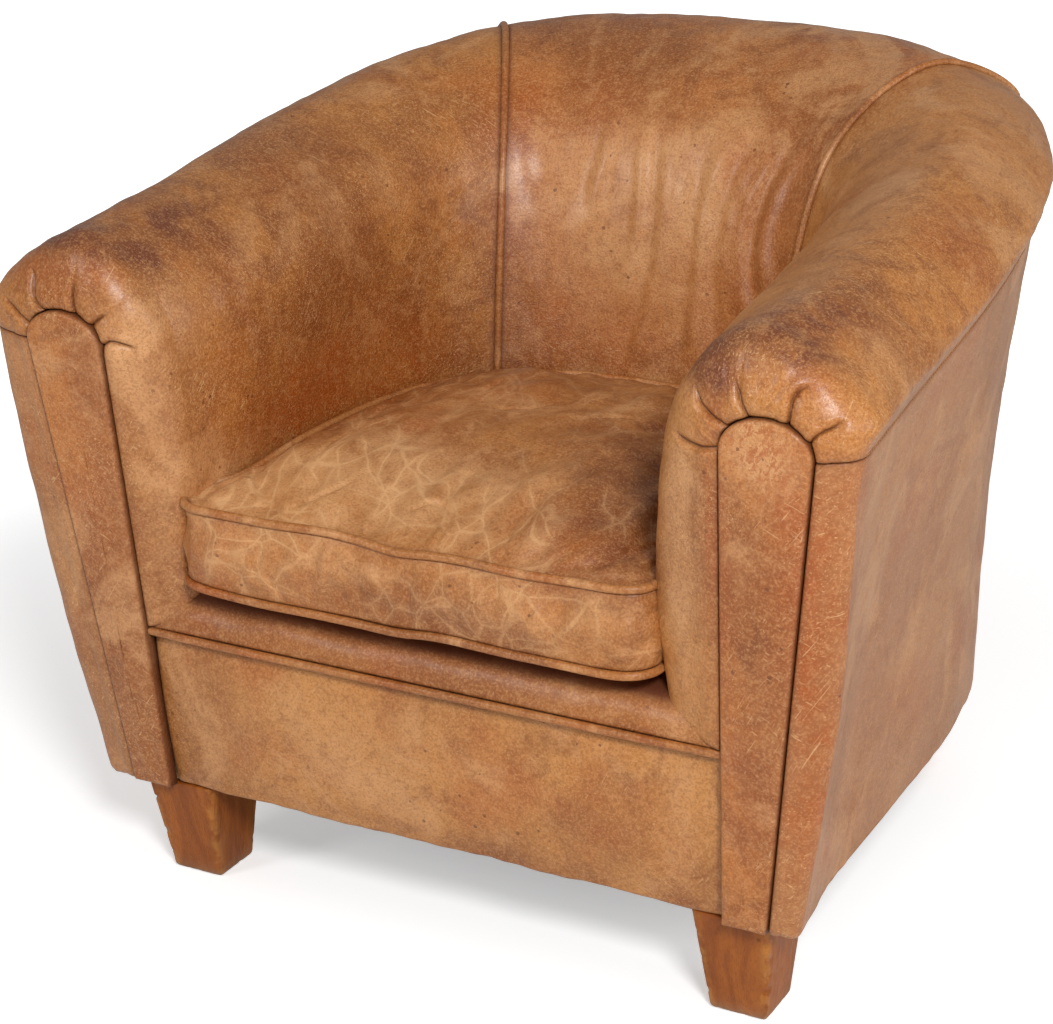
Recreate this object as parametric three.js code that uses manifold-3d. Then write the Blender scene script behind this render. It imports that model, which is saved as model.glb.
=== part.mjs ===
// A worn leather club chair with a tub shaped shell, a loose seat cushion and four tapered feet.
// Millimetres, +Z up. The chair faces -Y, and +X is the viewer's right.
// The chair is drawn with y = 0 on the floor line of its front, and the whole group is then moved so
// that its origin is the middle of its footprint on the floor.

import * as THREE from "three";
import { mergeVertices } from "three/addons/utils/BufferGeometryUtils.js";
import Module from "manifold-3d";

const wasm = await Module();
wasm.setup();

// Overall
const CENTRE_X = -8.2;
const CENTRE_Y = 329.65;
const LEAN = 0.0964;
const SEAM_GAP = 0.35;
const HIDE = 2.2;
const PAD_GAP = 1.2;

// The tub shell. Each rail is a U in plan: "front" is its half width at the arm front, "side" its half
// width where the corner starts, "back" its depth, "square" how square its back corners are, and
// "setback" how far its front end lies behind the facings.
const RAILS = [
  // hem
  { front: 342.5, side: 332.1, back: 663.2, square: 4.44, zFront: 98.9, zBack: 111.9, setback: 14 },
  // waist
  { front: 376, side: 347, back: 687.3, square: 3.68, zFront: 300.8, zBack: 364.9, setback: 18 },
  // seam
  { front: 398.1, side: 392.4, back: 718, square: 3.03, zFront: 538.8, zBack: 668.3, setback: 24 },
  // shoulder
  { front: 405.4, side: 401.9, back: 714.2, square: 3.08, zFront: 566.8, zBack: 696.3, setback: 40 },
  // crest
  { front: 304.2, side: 332.6, back: 625.8, square: 2.9, zFront: 629.7, zBack: 734, setback: 45 },
  // lip
  { front: 238.4, side: 227.7, back: 486.6, square: 3.86, zFront: 569.2, zBack: 663.7, setback: 45 },
  // chest
  { front: 214.7, side: 218.1, back: 428.6, square: 2.8, zFront: 410.3, zBack: 455.8, setback: 36 },
  // seat
  { front: 222.9, side: 222, back: 417.8, square: 2.58, zFront: 281.6, zBack: 285.3, setback: 36 },
];
const RISE_POWER = 1.233;
const HEM = 0;
const SEAM = 2;
const SHOULDER = 3;
const LIP = 5;
const SEAT = 7;
const ARM_LENGTH = 141;
const ARM_SHARE = 0.381;
const LEFT_ARM_SPREAD = 16.4;
const LEFT_SPREAD_SHARE = 0.42;
const PIPING_AT = 0.75;
const PIPING_GAP = 0.0066;
const BACK_SEAM_AT = 0.83;
const BEND_POWER = 1.6;
const SEAM_STEP = 0.012;

// The tall facing on each arm front, an arch on two straight edges
const FACING = {
  innerFoot: 278,
  innerTop: 287.5,
  outerFoot: 320,
  outerTop: 366.5,
  foot: 105,
  seatLine: 271,
  spring: 537,
  rise: 30,
};
const FACING_PROUD = 5;
const FACING_DEPTH = 12;
const FACING_INSET = 1.2;
const FACING_ROUND = 5;
const COVER_SINK = 3;
const PLEATS = { right: [0.167, 0.365, 0.62, 0.78, 0.985], left: [0.115, 0.3, 0.575, 0.756, 0.985] };
const PLEAT_DEPTH = 6;
const PLEAT_WIDTH = 0.035;

// Seat front, apron and deck
const APRON_TOP = 262;
const APRON_FOOT = 104;
const BORDER_FOOT = 271.5;
const APRON_SETBACK = 12;
const APRON_CROWN = 11;
const DECK_TOP = 306;
const DECK_THICK = 1.6;
const ROLL_FRONT = 4;
const ROLL_DEPTH = 40;
const PIPING_RADIUS = 3.6;
const PIPING_RISE = 2.9;
const APRON_PIPING_HEIGHT = 266;

// Loose cushion
const CUSHION = { front: -38, left: -238, right: 222, edgeLow: 322, edgeHigh: 397, low: 307, high: 420 };
const CUSHION_ROUND = 14;
const CUSHION_TUCK = 32;
const CUSHION_MIDDLE = new THREE.Vector2(-6, 190);
const CUSHION_RISE = 18;
const CUSHION_RISE_DEPTH = 180;
const CUSHION_CLEARANCE = 8;

// Frame
const FRAME_FOOT = 105.4;
const RAIL_TOP = 200;
const RAIL_THICK = 24;
const RAIL_INSET = 46;
const POST_THICK = 30;
const POST_WIDE = 50;
const ARM_RAIL = { wide: 40, high: 26, drop: 10 };
const POCKET = 0.5;
const SIDE_RAIL_SPAN = [0.22, 0.615];
const BACK_RAIL_FROM = 0.81;
const ARM_RAIL_SPAN = [0.01, 0.66];
const TOP_RAIL_FROM = 0.667;
const FRONT_RAIL = { half: 286, front: 15, back: 39, top: 256 };
const FRONT_POST = { setback: 16, lowX: 303, highX: 322 };
const BACK_POST = { at: 0.715, inset: 4, gap: 6, turnStep: 0.02 };
const BLOCK_HIGH = 60;
const BLOCK_INSET = 70;
const REAR_BLOCK_SPAN = [0.58, 0.86];
const REAR_BLOCK_INSIDE = [[168, 562], [232, 480]];
const PAD_UNDERSIDE = 206;
const PAD_FRONT_UNDERSIDE = 270.3;
const PAD_HEM_RISE = 8;
const PAD_INSET = 31;
const PAD_FRONT_INSET = 14;
const STRAP = { long: 570, wide: 50, thick: 2.4, first: 95, pitch: 68, count: 5 };

// Feet
const FOOT = { bottom: 54, topWide: 72, topDeep: 84, topForward: 6, high: 103.6, chamfer: 3, softened: 2 };
const FRONT_FOOT = { x: 280.5, y: 48, boltInward: 12 };
const REAR_FOOT = { x: 232, y: 556, boltInward: 0 };
const BOLT = { radius: 4, long: 100, above: 5, sides: 10 };

const LEATHER = new THREE.MeshStandardMaterial({ color: 0xb47c48, roughness: 0.5, metalness: 0 });
const LEATHER_LIGHT = new THREE.MeshStandardMaterial({ color: 0xc08a56, roughness: 0.5, metalness: 0 });
const LEATHER_WORN = new THREE.MeshStandardMaterial({ color: 0xa87344, roughness: 0.45, metalness: 0 });
const PIPING_LEATHER = new THREE.MeshStandardMaterial({ color: 0x9c6636, roughness: 0.5, metalness: 0 });
const FOOT_WOOD = new THREE.MeshStandardMaterial({ color: 0xa4652c, roughness: 0.45, metalness: 0 });
const FRAME_WOOD = new THREE.MeshStandardMaterial({ color: 0xc8a878, roughness: 0.8, metalness: 0 });
const FOAM = new THREE.MeshStandardMaterial({ color: 0xe4d9b8, roughness: 0.95, metalness: 0 });
const WEBBING = new THREE.MeshStandardMaterial({ color: 0x8c7b5a, roughness: 0.9, metalness: 0 });
const DARK_CLOTH = new THREE.MeshStandardMaterial({ color: 0x2c2a28, roughness: 0.95, metalness: 0 });
const STEEL = new THREE.MeshStandardMaterial({ color: 0x9a9c9e, roughness: 0.35, metalness: 1 });

const chair = new THREE.Group();
const lerp = THREE.MathUtils.lerp;
const clamp = THREE.MathUtils.clamp;
const UP = new THREE.Vector3(0, 0, 1);

// Steps from a to b in count equal steps
function spread(a, b, count) {
  return Array.from({ length: count + 1 }, (_, i) => lerp(a, b, i / count));
}

// The tub surface

// One rail at t, from the arm front (0) to the middle of the back (1)
function railPoint(rail, t) {
  const yFront = rail.setback - LEAN * rail.zFront;
  let x = rail.side;
  let y = ARM_LENGTH;
  if (t < ARM_SHARE) {
    const along = t / ARM_SHARE;
    x += (rail.front - rail.side) * (1 - along) ** 2;
    y = lerp(yFront, ARM_LENGTH, along);
  } else {
    const angle = ((t - ARM_SHARE) / (1 - ARM_SHARE)) * (Math.PI / 2);
    const power = 2 / rail.square;
    x *= Math.max(Math.cos(angle), 0) ** power;
    y += (rail.back - ARM_LENGTH) * Math.sin(angle) ** power;
  }
  const rise = clamp((y - yFront) / (rail.back - yFront), 0, 1) ** RISE_POWER;
  return new THREE.Vector3(x, y, lerp(rail.zFront, rail.zBack, rise));
}

// A point of the right half of the shell: v runs over the rails, smoothly from one to the next
function shellPoint(t, v) {
  const last = RAILS.length - 1;
  const i = clamp(Math.floor(v), 0, last - 1);
  const at = (k) => {
    if (k < 0) return railPoint(RAILS[0], t).multiplyScalar(2).sub(railPoint(RAILS[1], t));
    if (k > last) return railPoint(RAILS[last], t).multiplyScalar(2).sub(railPoint(RAILS[last - 1], t));
    return railPoint(RAILS[k], t);
  };
  const [a, b, c, d] = [at(i - 1), at(i), at(i + 1), at(i + 2)];
  const bKnot = Math.sqrt(a.distanceTo(b));
  const cKnot = bKnot + Math.sqrt(b.distanceTo(c));
  const dKnot = cKnot + Math.sqrt(c.distanceTo(d));
  const knot = lerp(bKnot, cKnot, v - i);
  const mix = (p, q, from, to) => p.clone().lerp(q, (knot - from) / (to - from));
  const bc = mix(b, c, bKnot, cKnot);
  const before = mix(mix(a, b, 0, bKnot), bc, 0, cKnot);
  const after = mix(bc, mix(c, d, cKnot, dKnot), bKnot, dKnot);
  return mix(before, after, bKnot, cKnot);
}

// The facing's edge for the same v: up the outer edge, round the arch and down the inner edge
function facingEdge(v, inset = 0) {
  const f = FACING;
  if (v <= SEAM) {
    const share = v / SEAM;
    return { x: lerp(f.outerFoot, f.outerTop, share) - inset, z: lerp(f.foot, f.spring, share) };
  }
  if (v >= LIP) {
    const z = lerp(f.spring, f.seatLine, (v - LIP) / (SEAT - LIP));
    const share = (z - f.foot) / (f.spring - f.foot);
    return { x: lerp(f.innerFoot, f.innerTop, share) + inset, z };
  }
  const angle = (Math.PI * (v - SEAM)) / (LIP - SEAM);
  const middle = (f.innerTop + f.outerTop) / 2;
  const half = (f.outerTop - f.innerTop) / 2 - inset;
  return { x: middle + half * Math.cos(angle), z: f.spring + (f.rise - inset) * Math.sin(angle) };
}

// How deep the gathers are at v, a share of the arch, with each pleat a narrow valley
function pleat(v, side) {
  const share = (v - SEAM) / (LIP - SEAM);
  const lines = side > 0 ? PLEATS.right : PLEATS.left;
  return lines.reduce((sum, line) => sum + Math.exp(-(((share - line) / PLEAT_WIDTH) ** 2)), 0);
}

// The cover's surface on one side: w from -1 (facing edge) through 0 (arm front) to 1 (middle of the back)
function coverPoint(w, v, side) {
  const p = shellPoint(Math.max(w, 0), v);
  if (side < 0) {
    p.x += LEFT_ARM_SPREAD * (1 - clamp(w / LEFT_SPREAD_SHARE, 0, 1)) ** 2;
  }
  if (w < 0) {
    const turn = (-w * Math.PI) / 2;
    const edge = facingEdge(v);
    const inward = 1 - Math.cos(turn);
    p.x = lerp(p.x, edge.x, inward);
    p.z = lerp(p.z, edge.z, inward);
    p.y = lerp(p.y, COVER_SINK - LEAN * edge.z, Math.sin(turn));
  }
  p.x *= side;
  return p;
}

// The unit normal that points out of the upholstered wall
function coverNormal(w, v, side) {
  const step = 0.004;
  const w0 = clamp(w - step, -1, 1);
  const w1 = clamp(w + step, -1, 1);
  const v0 = clamp(v - 0.03, 0, SEAT);
  const v1 = clamp(v + 0.03, 0, SEAT);
  const along = coverPoint(w1, v, side).sub(coverPoint(w0, v, side));
  const across = coverPoint(w, v1, side).sub(coverPoint(w, v0, side));
  return along.cross(across).multiplyScalar(side).normalize();
}

// The cover's surface sunk by a depth, with the gathers pressed in near the facing
function sunkPoint(w, v, side, depth, gathered = 1) {
  let sink = depth;
  if (w < 0 && gathered) {
    sink += gathered * PLEAT_DEPTH * pleat(v, side) * THREE.MathUtils.smoothstep(-w, 0.08, 0.7);
  }
  return coverPoint(w, v, side).addScaledVector(coverNormal(w, v, side), -sink);
}

// Closed meshes

// Faces turned so that the mesh has its outside out
function outward(geometry) {
  const p = geometry.getAttribute("position");
  const index = geometry.getIndex();
  const [a, b, c] = [new THREE.Vector3(), new THREE.Vector3(), new THREE.Vector3()];
  let volume = 0;
  for (let i = 0; i < index.count; i += 3) {
    a.fromBufferAttribute(p, index.getX(i));
    b.fromBufferAttribute(p, index.getX(i + 1));
    c.fromBufferAttribute(p, index.getX(i + 2));
    volume += a.dot(b.cross(c));
  }
  if (volume < 0) {
    for (let i = 0; i < index.count; i += 3) {
      const first = index.getX(i);
      index.setX(i, index.getX(i + 2));
      index.setX(i + 2, first);
    }
  }
  geometry.computeVertexNormals();
  return geometry;
}

function fromPoints(points, faces) {
  const geometry = new THREE.BufferGeometry();
  const values = points.flatMap((p) => [p.x, p.y, p.z]);
  geometry.setAttribute("position", new THREE.Float32BufferAttribute(values, 3));
  geometry.setIndex(faces);
  return outward(geometry);
}

// A skin with a thickness, from its outer and inner grids of points
function skin(outer, inner) {
  const rows = outer.length;
  const columns = outer[0].length;
  const points = [...outer.flat(), ...inner.flat()];
  const o = (i, j) => i * columns + j;
  const n = (i, j) => rows * columns + i * columns + j;
  const faces = [];
  const quad = (a, b, c, d) => faces.push(a, b, c, a, c, d);
  for (let i = 0; i < rows - 1; i++) {
    for (let j = 0; j < columns - 1; j++) {
      quad(o(i, j), o(i, j + 1), o(i + 1, j + 1), o(i + 1, j));
      quad(n(i, j), n(i + 1, j), n(i + 1, j + 1), n(i, j + 1));
    }
    quad(o(i, 0), o(i + 1, 0), n(i + 1, 0), n(i, 0));
    quad(o(i, columns - 1), n(i, columns - 1), n(i + 1, columns - 1), o(i + 1, columns - 1));
  }
  for (let j = 0; j < columns - 1; j++) {
    quad(o(0, j), n(0, j), n(0, j + 1), o(0, j + 1));
    quad(o(rows - 1, j), o(rows - 1, j + 1), n(rows - 1, j + 1), n(rows - 1, j));
  }
  return fromPoints(points, faces);
}

// The triangles of a closed end, cut like the rungs of a ladder from one side of the loop to the other
function ladder(count) {
  const faces = [];
  for (let j = 0; j < Math.floor((count - 1) / 2); j++) {
    const [a, b, c, d] = [j, j + 1, count - 2 - j, count - 1 - j];
    if (b < c) faces.push([a, b, d], [b, c, d]);
    else faces.push([a, b, d]);
  }
  return faces;
}

// A solid through closed loops of points; flat(p) lays an end out in 2D, and without it an end is a ladder
function loft(loops, flat) {
  const count = loops[0].length;
  const points = loops.flat();
  const faces = [];
  for (let i = 0; i < loops.length - 1; i++) {
    for (let j = 0; j < count; j++) {
      const next = (j + 1) % count;
      const [a, b, c, d] = [i * count + j, i * count + next, (i + 1) * count + next, (i + 1) * count + j];
      faces.push(a, b, c, a, c, d);
    }
  }
  for (const [row, reverse] of [[0, true], [loops.length - 1, false]]) {
    const outline = flat ? loops[row].map(flat) : null;
    const triangles = flat ? THREE.ShapeUtils.triangulateShape(outline, []) : ladder(count);
    const turned = (flat ? THREE.ShapeUtils.isClockWise(outline) : false) !== reverse;
    for (const triangle of triangles) {
      const [a, b, c] = triangle.map((k) => row * count + k);
      faces.push(...(turned ? [a, c, b] : [a, b, c]));
    }
  }
  return fromPoints(points, faces);
}

const planar = (p) => new THREE.Vector2(p.x, p.y);

// A ring of loops that closes on itself, such as a border strip
function ringSkin(sections) {
  const count = sections[0].length;
  const faces = [];
  sections.forEach((_, i) => {
    const after = (i + 1) % sections.length;
    for (let j = 0; j < count; j++) {
      const next = (j + 1) % count;
      const [a, b, c, d] = [i * count + j, i * count + next, after * count + next, after * count + j];
      faces.push(a, b, c, a, c, d);
    }
  });
  return fromPoints(sections.flat(), faces);
}

// A round cord along points, open ended or closed; across is a direction that the path never takes
function cord(points, radius, closed, steps, across, sides = 6) {
  const path = new THREE.CatmullRomCurve3(points, closed);
  const sections = Array.from({ length: closed ? steps : steps + 1 }, (_, i) => {
    const centre = path.getPointAt(i / steps);
    const along = path.getTangentAt(i / steps);
    const beside = along.clone().cross(across).normalize();
    const above = beside.clone().cross(along);
    return spread(0, 2 * Math.PI, sides)
      .slice(0, sides)
      .map((a) =>
        centre
          .clone()
          .addScaledVector(above, radius * Math.cos(a))
          .addScaledVector(beside, radius * Math.sin(a))
      );
  });
  return closed ? ringSkin(sections) : loft(sections);
}

// A mesh with its shared points merged
function merged(geometry) {
  const bare = geometry.clone();
  bare.deleteAttribute("normal");
  bare.deleteAttribute("uv");
  return mergeVertices(bare, 1e-3);
}

function toSolid(geometry) {
  const bare = merged(geometry);
  const vertProperties = Float32Array.from(bare.getAttribute("position").array);
  const triVerts = Uint32Array.from(bare.getIndex().array);
  return new wasm.Manifold(new wasm.Mesh({ numProp: 3, vertProperties, triVerts }));
}

function fromSolid(solid) {
  const mesh = solid.getMesh();
  const geometry = new THREE.BufferGeometry();
  geometry.setAttribute("position", new THREE.BufferAttribute(Float32Array.from(mesh.vertProperties), 3));
  geometry.setIndex(new THREE.BufferAttribute(Uint32Array.from(mesh.triVerts), 1));
  geometry.computeVertexNormals();
  return geometry;
}

function cut(geometry, tools) {
  return fromSolid(tools.reduce((solid, tool) => solid.subtract(toSolid(tool)), toSolid(geometry)));
}

function add(name, geometry, material, position, rotation) {
  const mesh = new THREE.Mesh(geometry, material);
  mesh.name = name;
  if (position) mesh.position.copy(position);
  if (rotation) mesh.rotation.copy(rotation);
  chair.add(mesh);
  return mesh;
}

const SIDES = [
  { word: "left", sign: -1 },
  { word: "right", sign: 1 },
];

// Frame

// A bar with a rectangular section along a plan curve, its broad faces upright
function bar(points, wide, low, high, grow = 0) {
  const loops = points.map((p, i) => {
    const before = points[Math.max(i - 1, 0)];
    const after = points[Math.min(i + 1, points.length - 1)];
    const along = new THREE.Vector3(after.x - before.x, after.y - before.y, 0).normalize();
    const out = new THREE.Vector3(along.y, -along.x, 0).multiplyScalar(wide / 2 + grow);
    const centre = p.clone();
    if (i === 0) centre.addScaledVector(along, -grow);
    if (i === points.length - 1) centre.addScaledVector(along, grow);
    const corner = (o, z) => centre.clone().addScaledVector(out, o).setZ(centre.z + z);
    return [corner(-1, low - grow), corner(1, low - grow), corner(1, high + grow), corner(-1, high + grow)];
  });
  const faces = [0, 1, 2, 0, 2, 3];
  const last = 4 * (loops.length - 1);
  faces.push(last, last + 2, last + 1, last, last + 3, last + 2);
  for (let i = 0; i < loops.length - 1; i++) {
    for (let j = 0; j < 4; j++) {
      const next = (j + 1) % 4;
      faces.push(4 * i + j, 4 * i + 4 + j, 4 * i + 4 + next, 4 * i + j, 4 * i + 4 + next, 4 * i + next);
    }
  }
  return fromPoints(loops.flat(), faces);
}

// The hem's plan curve moved inwards, on the frame's foot plane
function hemInset(t, side, inset) {
  const step = 0.01;
  const p = railPoint(RAILS[HEM], t);
  const before = railPoint(RAILS[HEM], Math.max(t - step, 0));
  const along = railPoint(RAILS[HEM], Math.min(t + step, 1)).sub(before);
  along.z = 0;
  along.normalize();
  return new THREE.Vector3(side * (p.x - inset * along.y), p.y + inset * along.x, 0);
}

// The middle line of the rail inside the roll
function rollCentre(t, side) {
  const p = shellPoint(t, SHOULDER).add(shellPoint(t, LIP)).multiplyScalar(0.5);
  return new THREE.Vector3(side * p.x, p.y, p.z - ARM_RAIL.drop);
}

function sideRail(side, grow = 0) {
  const points = spread(...SIDE_RAIL_SPAN, 7).map((t) => hemInset(t, side, RAIL_INSET));
  return bar(points, RAIL_THICK, FRAME_FOOT, RAIL_TOP, grow);
}

function backRail(grow = 0) {
  const right = spread(BACK_RAIL_FROM, 1, 5).map((t) => hemInset(t, 1, RAIL_INSET));
  const left = right.slice(0, -1).reverse().map((p) => new THREE.Vector3(-p.x, p.y, p.z));
  return bar([...right, ...left], RAIL_THICK, FRAME_FOOT, RAIL_TOP, grow);
}

function armRail(side, grow = 0) {
  const points = spread(...ARM_RAIL_SPAN, 8).map((t) => rollCentre(t, side));
  return bar(points, ARM_RAIL.wide, -ARM_RAIL.high / 2, ARM_RAIL.high / 2, grow);
}

function topRail(grow = 0) {
  const right = spread(TOP_RAIL_FROM, 1, 6).map((t) => rollCentre(t, 1));
  const left = right.slice(0, -1).reverse().map((p) => new THREE.Vector3(-p.x, p.y, p.z));
  return bar([...right, ...left], ARM_RAIL.wide, -ARM_RAIL.high / 2, ARM_RAIL.high / 2, grow);
}

// A post as a loft between a low and a high rectangle
function post(low, high, along, grow = 0) {
  const out = new THREE.Vector3(along.y, -along.x, 0);
  const rectangle = (centre, z) =>
    [[-1, -1], [1, -1], [1, 1], [-1, 1]].map(([a, b]) =>
      new THREE.Vector3(centre.x, centre.y, z)
        .addScaledVector(along, a * (POST_WIDE / 2 + grow))
        .addScaledVector(out, b * (POST_THICK / 2 + grow))
    );
  const loops = [rectangle(low, low.z - grow), rectangle(high, high.z + grow)];
  return loft(loops, planar);
}

function frontPost(side, grow = 0) {
  const depth = FRONT_POST.setback + POST_WIDE / 2;
  const top = rollCentre(ARM_RAIL_SPAN[0], side).z - ARM_RAIL.high / 2 - POCKET;
  const low = new THREE.Vector3(side * FRONT_POST.lowX, depth - LEAN * FRAME_FOOT, FRAME_FOOT);
  const high = new THREE.Vector3(side * FRONT_POST.highX, depth - LEAN * top, top);
  return post(low, high, new THREE.Vector3(0, 1, 0), grow);
}

function backPost(side, grow = 0) {
  const { at, inset, gap, turnStep } = BACK_POST;
  const low = hemInset(at, side, RAIL_INSET + inset).setZ(FRAME_FOOT);
  const high = rollCentre(at, side);
  high.z -= ARM_RAIL.high / 2 + gap;
  const before = hemInset(at - turnStep, side, RAIL_INSET);
  const along = hemInset(at + turnStep, side, RAIL_INSET).sub(before).normalize();
  return post(low, high, along, grow);
}

function frontRail(grow = 0) {
  const half = FRONT_RAIL.half + grow;
  const [front, back] = [FRONT_RAIL.front - grow, FRONT_RAIL.back + grow];
  const [low, high] = [FRAME_FOOT - grow, FRONT_RAIL.top + grow];
  const corners = [[front, low], [back, low], [back, high], [front, high]];
  const section = (x) => corners.map(([y, z]) => new THREE.Vector3(x, y - LEAN * z, z));
  return loft([section(-half), section(half)], (p) => new THREE.Vector2(p.y, p.z));
}

const frameTools = (side) => [
  sideRail(side, POCKET),
  armRail(side, POCKET),
  frontPost(side, POCKET),
  backPost(side, POCKET),
  frontRail(POCKET),
  backRail(POCKET),
  topRail(POCKET),
];

// Feet and their bolts

const feet = SIDES.flatMap(({ word, sign }) => [
  { word: `front_${word}`, x: sign * FRONT_FOOT.x, y: FRONT_FOOT.y, boltX: -sign * FRONT_FOOT.boltInward },
  { word: `rear_${word}`, x: sign * REAR_FOOT.x, y: REAR_FOOT.y, boltX: -sign * REAR_FOOT.boltInward },
]);

// A tapered foot with chamfered upright edges and a softened underside; forward is -1 on a front foot
function foot(forward) {
  const rectangle = (wide, deep, z, shift) => {
    const [x, y, c] = [wide / 2, deep / 2, FOOT.chamfer];
    const front = [[-x, c - y], [c - x, -y], [x - c, -y], [x, c - y]];
    const back = [[x, y - c], [x - c, y], [c - x, y], [-x, y - c]];
    return [...front, ...back].map(([a, b]) => new THREE.Vector3(a, b + shift, z));
  };
  const small = FOOT.bottom - 2 * FOOT.softened;
  const loops = [
    rectangle(small, small, 0, 0),
    rectangle(FOOT.bottom, FOOT.bottom, FOOT.chamfer, 0),
    rectangle(FOOT.topWide, FOOT.topDeep, FOOT.high, forward * FOOT.topForward),
  ];
  return loft(loops, planar);
}

function bolt(grow = 0) {
  const radius = BOLT.radius + grow;
  const geometry = new THREE.CylinderGeometry(radius, radius, BOLT.long + 2 * grow, BOLT.sides);
  geometry.rotateX(Math.PI / 2);
  geometry.translate(0, 0, FOOT.high + BOLT.above);
  return geometry;
}

const boltsAt = feet.map(({ x, y, boltX }) => bolt(SEAM_GAP).translate(x + boltX, y, 0));

// Blocks that brace the frame's corners; the front ones also take the bolts of the front feet
const FRONT_BLOCK = [[285, 29.5], [285, 62], [274, 77], [262, 77], [222, 40], [222, 29.5]];
const rearBlock = [
  ...spread(...REAR_BLOCK_SPAN, 6).map((t) => hemInset(t, 1, BLOCK_INSET)).map((p) => [p.x, p.y]),
  ...REAR_BLOCK_INSIDE,
];

function block(plan, side) {
  const outline = new THREE.Shape(plan.map(([x, y]) => new THREE.Vector2(side * x, y)));
  const geometry = new THREE.ExtrudeGeometry(outline, { depth: BLOCK_HIGH, bevelEnabled: false });
  return geometry.translate(0, 0, FRAME_FOOT);
}

for (const { word, x, y, boltX } of feet) {
  const place = new THREE.Vector3(x, y, 0);
  const forward = word.startsWith("front") ? -1 : 0;
  const hole = bolt(SEAM_GAP).translate(boltX, 0, 0);
  add(`${word}_foot`, cut(foot(forward), [hole]), FOOT_WOOD, place);
  add(`${word}_foot_bolt`, bolt(), STEEL, new THREE.Vector3(x + boltX, y, 0));
  const plan = forward ? FRONT_BLOCK : rearBlock;
  add(`${word}_corner_block`, cut(block(plan, Math.sign(x)), boltsAt), FRAME_WOOD);
}

for (const { word, sign } of SIDES) {
  add(`${word}_side_rail`, cut(sideRail(sign), boltsAt), FRAME_WOOD);
  add(`${word}_front_post`, cut(frontPost(sign), [...boltsAt, frontRail(POCKET)]), FRAME_WOOD);
  const overPost = [armRail(sign, POCKET), topRail(POCKET)];
  add(`${word}_back_post`, cut(backPost(sign), [...boltsAt, ...overPost]), FRAME_WOOD);
  add(`${word}_arm_rail`, armRail(sign), FRAME_WOOD);
}
add("front_rail", cut(frontRail(), boltsAt), FRAME_WOOD);
add("back_rail", cut(backRail(), boltsAt), FRAME_WOOD);
add("curved_top_rail", topRail(), FRAME_WOOD);

// Padding of the arms and the back, with pockets where the frame runs through

// Steps along the shell, shared by the padding and the leather so that both bend at the same lines
const FRONT_ROWS = spread(-1, 0, 5);
const bend = (from, to, count) => {
  const share = (t) => ((t - ARM_SHARE) / (1 - ARM_SHARE)) ** (1 / BEND_POWER);
  return spread(share(from), share(to), count).map((u) => lerp(ARM_SHARE, 1, u ** BEND_POWER));
};
const ARM_ROWS = [
  ...spread(0, ARM_SHARE, 3).slice(1),
  ...bend(ARM_SHARE, PIPING_AT - PIPING_GAP, 6).slice(1),
];
const CORNER_ROWS = [PIPING_AT + PIPING_GAP, 0.795, BACK_SEAM_AT - SEAM_STEP / 8];
const BACK_ROWS = [BACK_SEAM_AT + SEAM_STEP / 8, ...spread(0.872, 1, 3)];
const OUTSIDE_STEPS = spread(HEM, SEAM - SEAM_STEP, 4);
const INSIDE_STEPS = spread(LIP, SEAT, 4);
const ROLL_STEPS = spread(SEAM + SEAM_STEP, LIP, 10).slice(0, -1);

// Steps over an arm's roll: three at every pleat and one between neighbours
function pleatSteps(side) {
  const lines = side > 0 ? PLEATS.right : PLEATS.left;
  const shares = lines.flatMap((line) => [line - PLEAT_WIDTH, line, line + PLEAT_WIDTH]);
  const between = lines.slice(1).map((line, k) => (lines[k] + line) / 2);
  const inside = [...shares, ...between]
    .filter((share) => share > 0.02 && share < 0.99)
    .sort((a, b) => a - b);
  return [SEAM + SEAM_STEP, ...inside.map((share) => SEAM + share * (LIP - SEAM))];
}

// Fewer steps over the roll for the padding, which lies deeper than the gathers
function padSteps(side) {
  const lines = side > 0 ? PLEATS.right : PLEATS.left;
  const between = lines.slice(1).map((line, k) => (lines[k] + line) / 2);
  const first = [lines[0] - PLEAT_WIDTH, lines[0] + PLEAT_WIDTH];
  const shares = [...first, ...lines.slice(0, -1), ...between].sort((a, b) => a - b);
  return [SEAM + SEAM_STEP, ...shares.map((share) => SEAM + share * (LIP - SEAM))];
}

// A section of padding: the shell's line, then the underside round the seat and behind the hem
function paddingLoop(w, side, steps) {
  const depth = HIDE + PAD_GAP + PLEAT_DEPTH * THREE.MathUtils.smoothstep(-w, 0, 0.7);
  const loop = steps.map((v) => sunkPoint(w, v, side, depth, 0));
  const hem = loop[0];
  const seat = loop[loop.length - 1];
  const inward = new THREE.Vector3(seat.x - hem.x, seat.y - hem.y, 0);
  inward.setLength(w < 0 ? lerp(PAD_INSET, PAD_FRONT_INSET, -w) : PAD_INSET);
  const underside = w < 0 ? PAD_FRONT_UNDERSIDE : PAD_UNDERSIDE;
  loop.push(new THREE.Vector3(seat.x, seat.y, underside));
  loop.push(new THREE.Vector3(hem.x + inward.x, hem.y + inward.y, underside));
  loop.push(new THREE.Vector3(hem.x + inward.x, hem.y + inward.y, hem.z + PAD_HEM_RISE));
  return loop;
}

const sideways = (p) => new THREE.Vector2(p.x, p.z);

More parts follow.
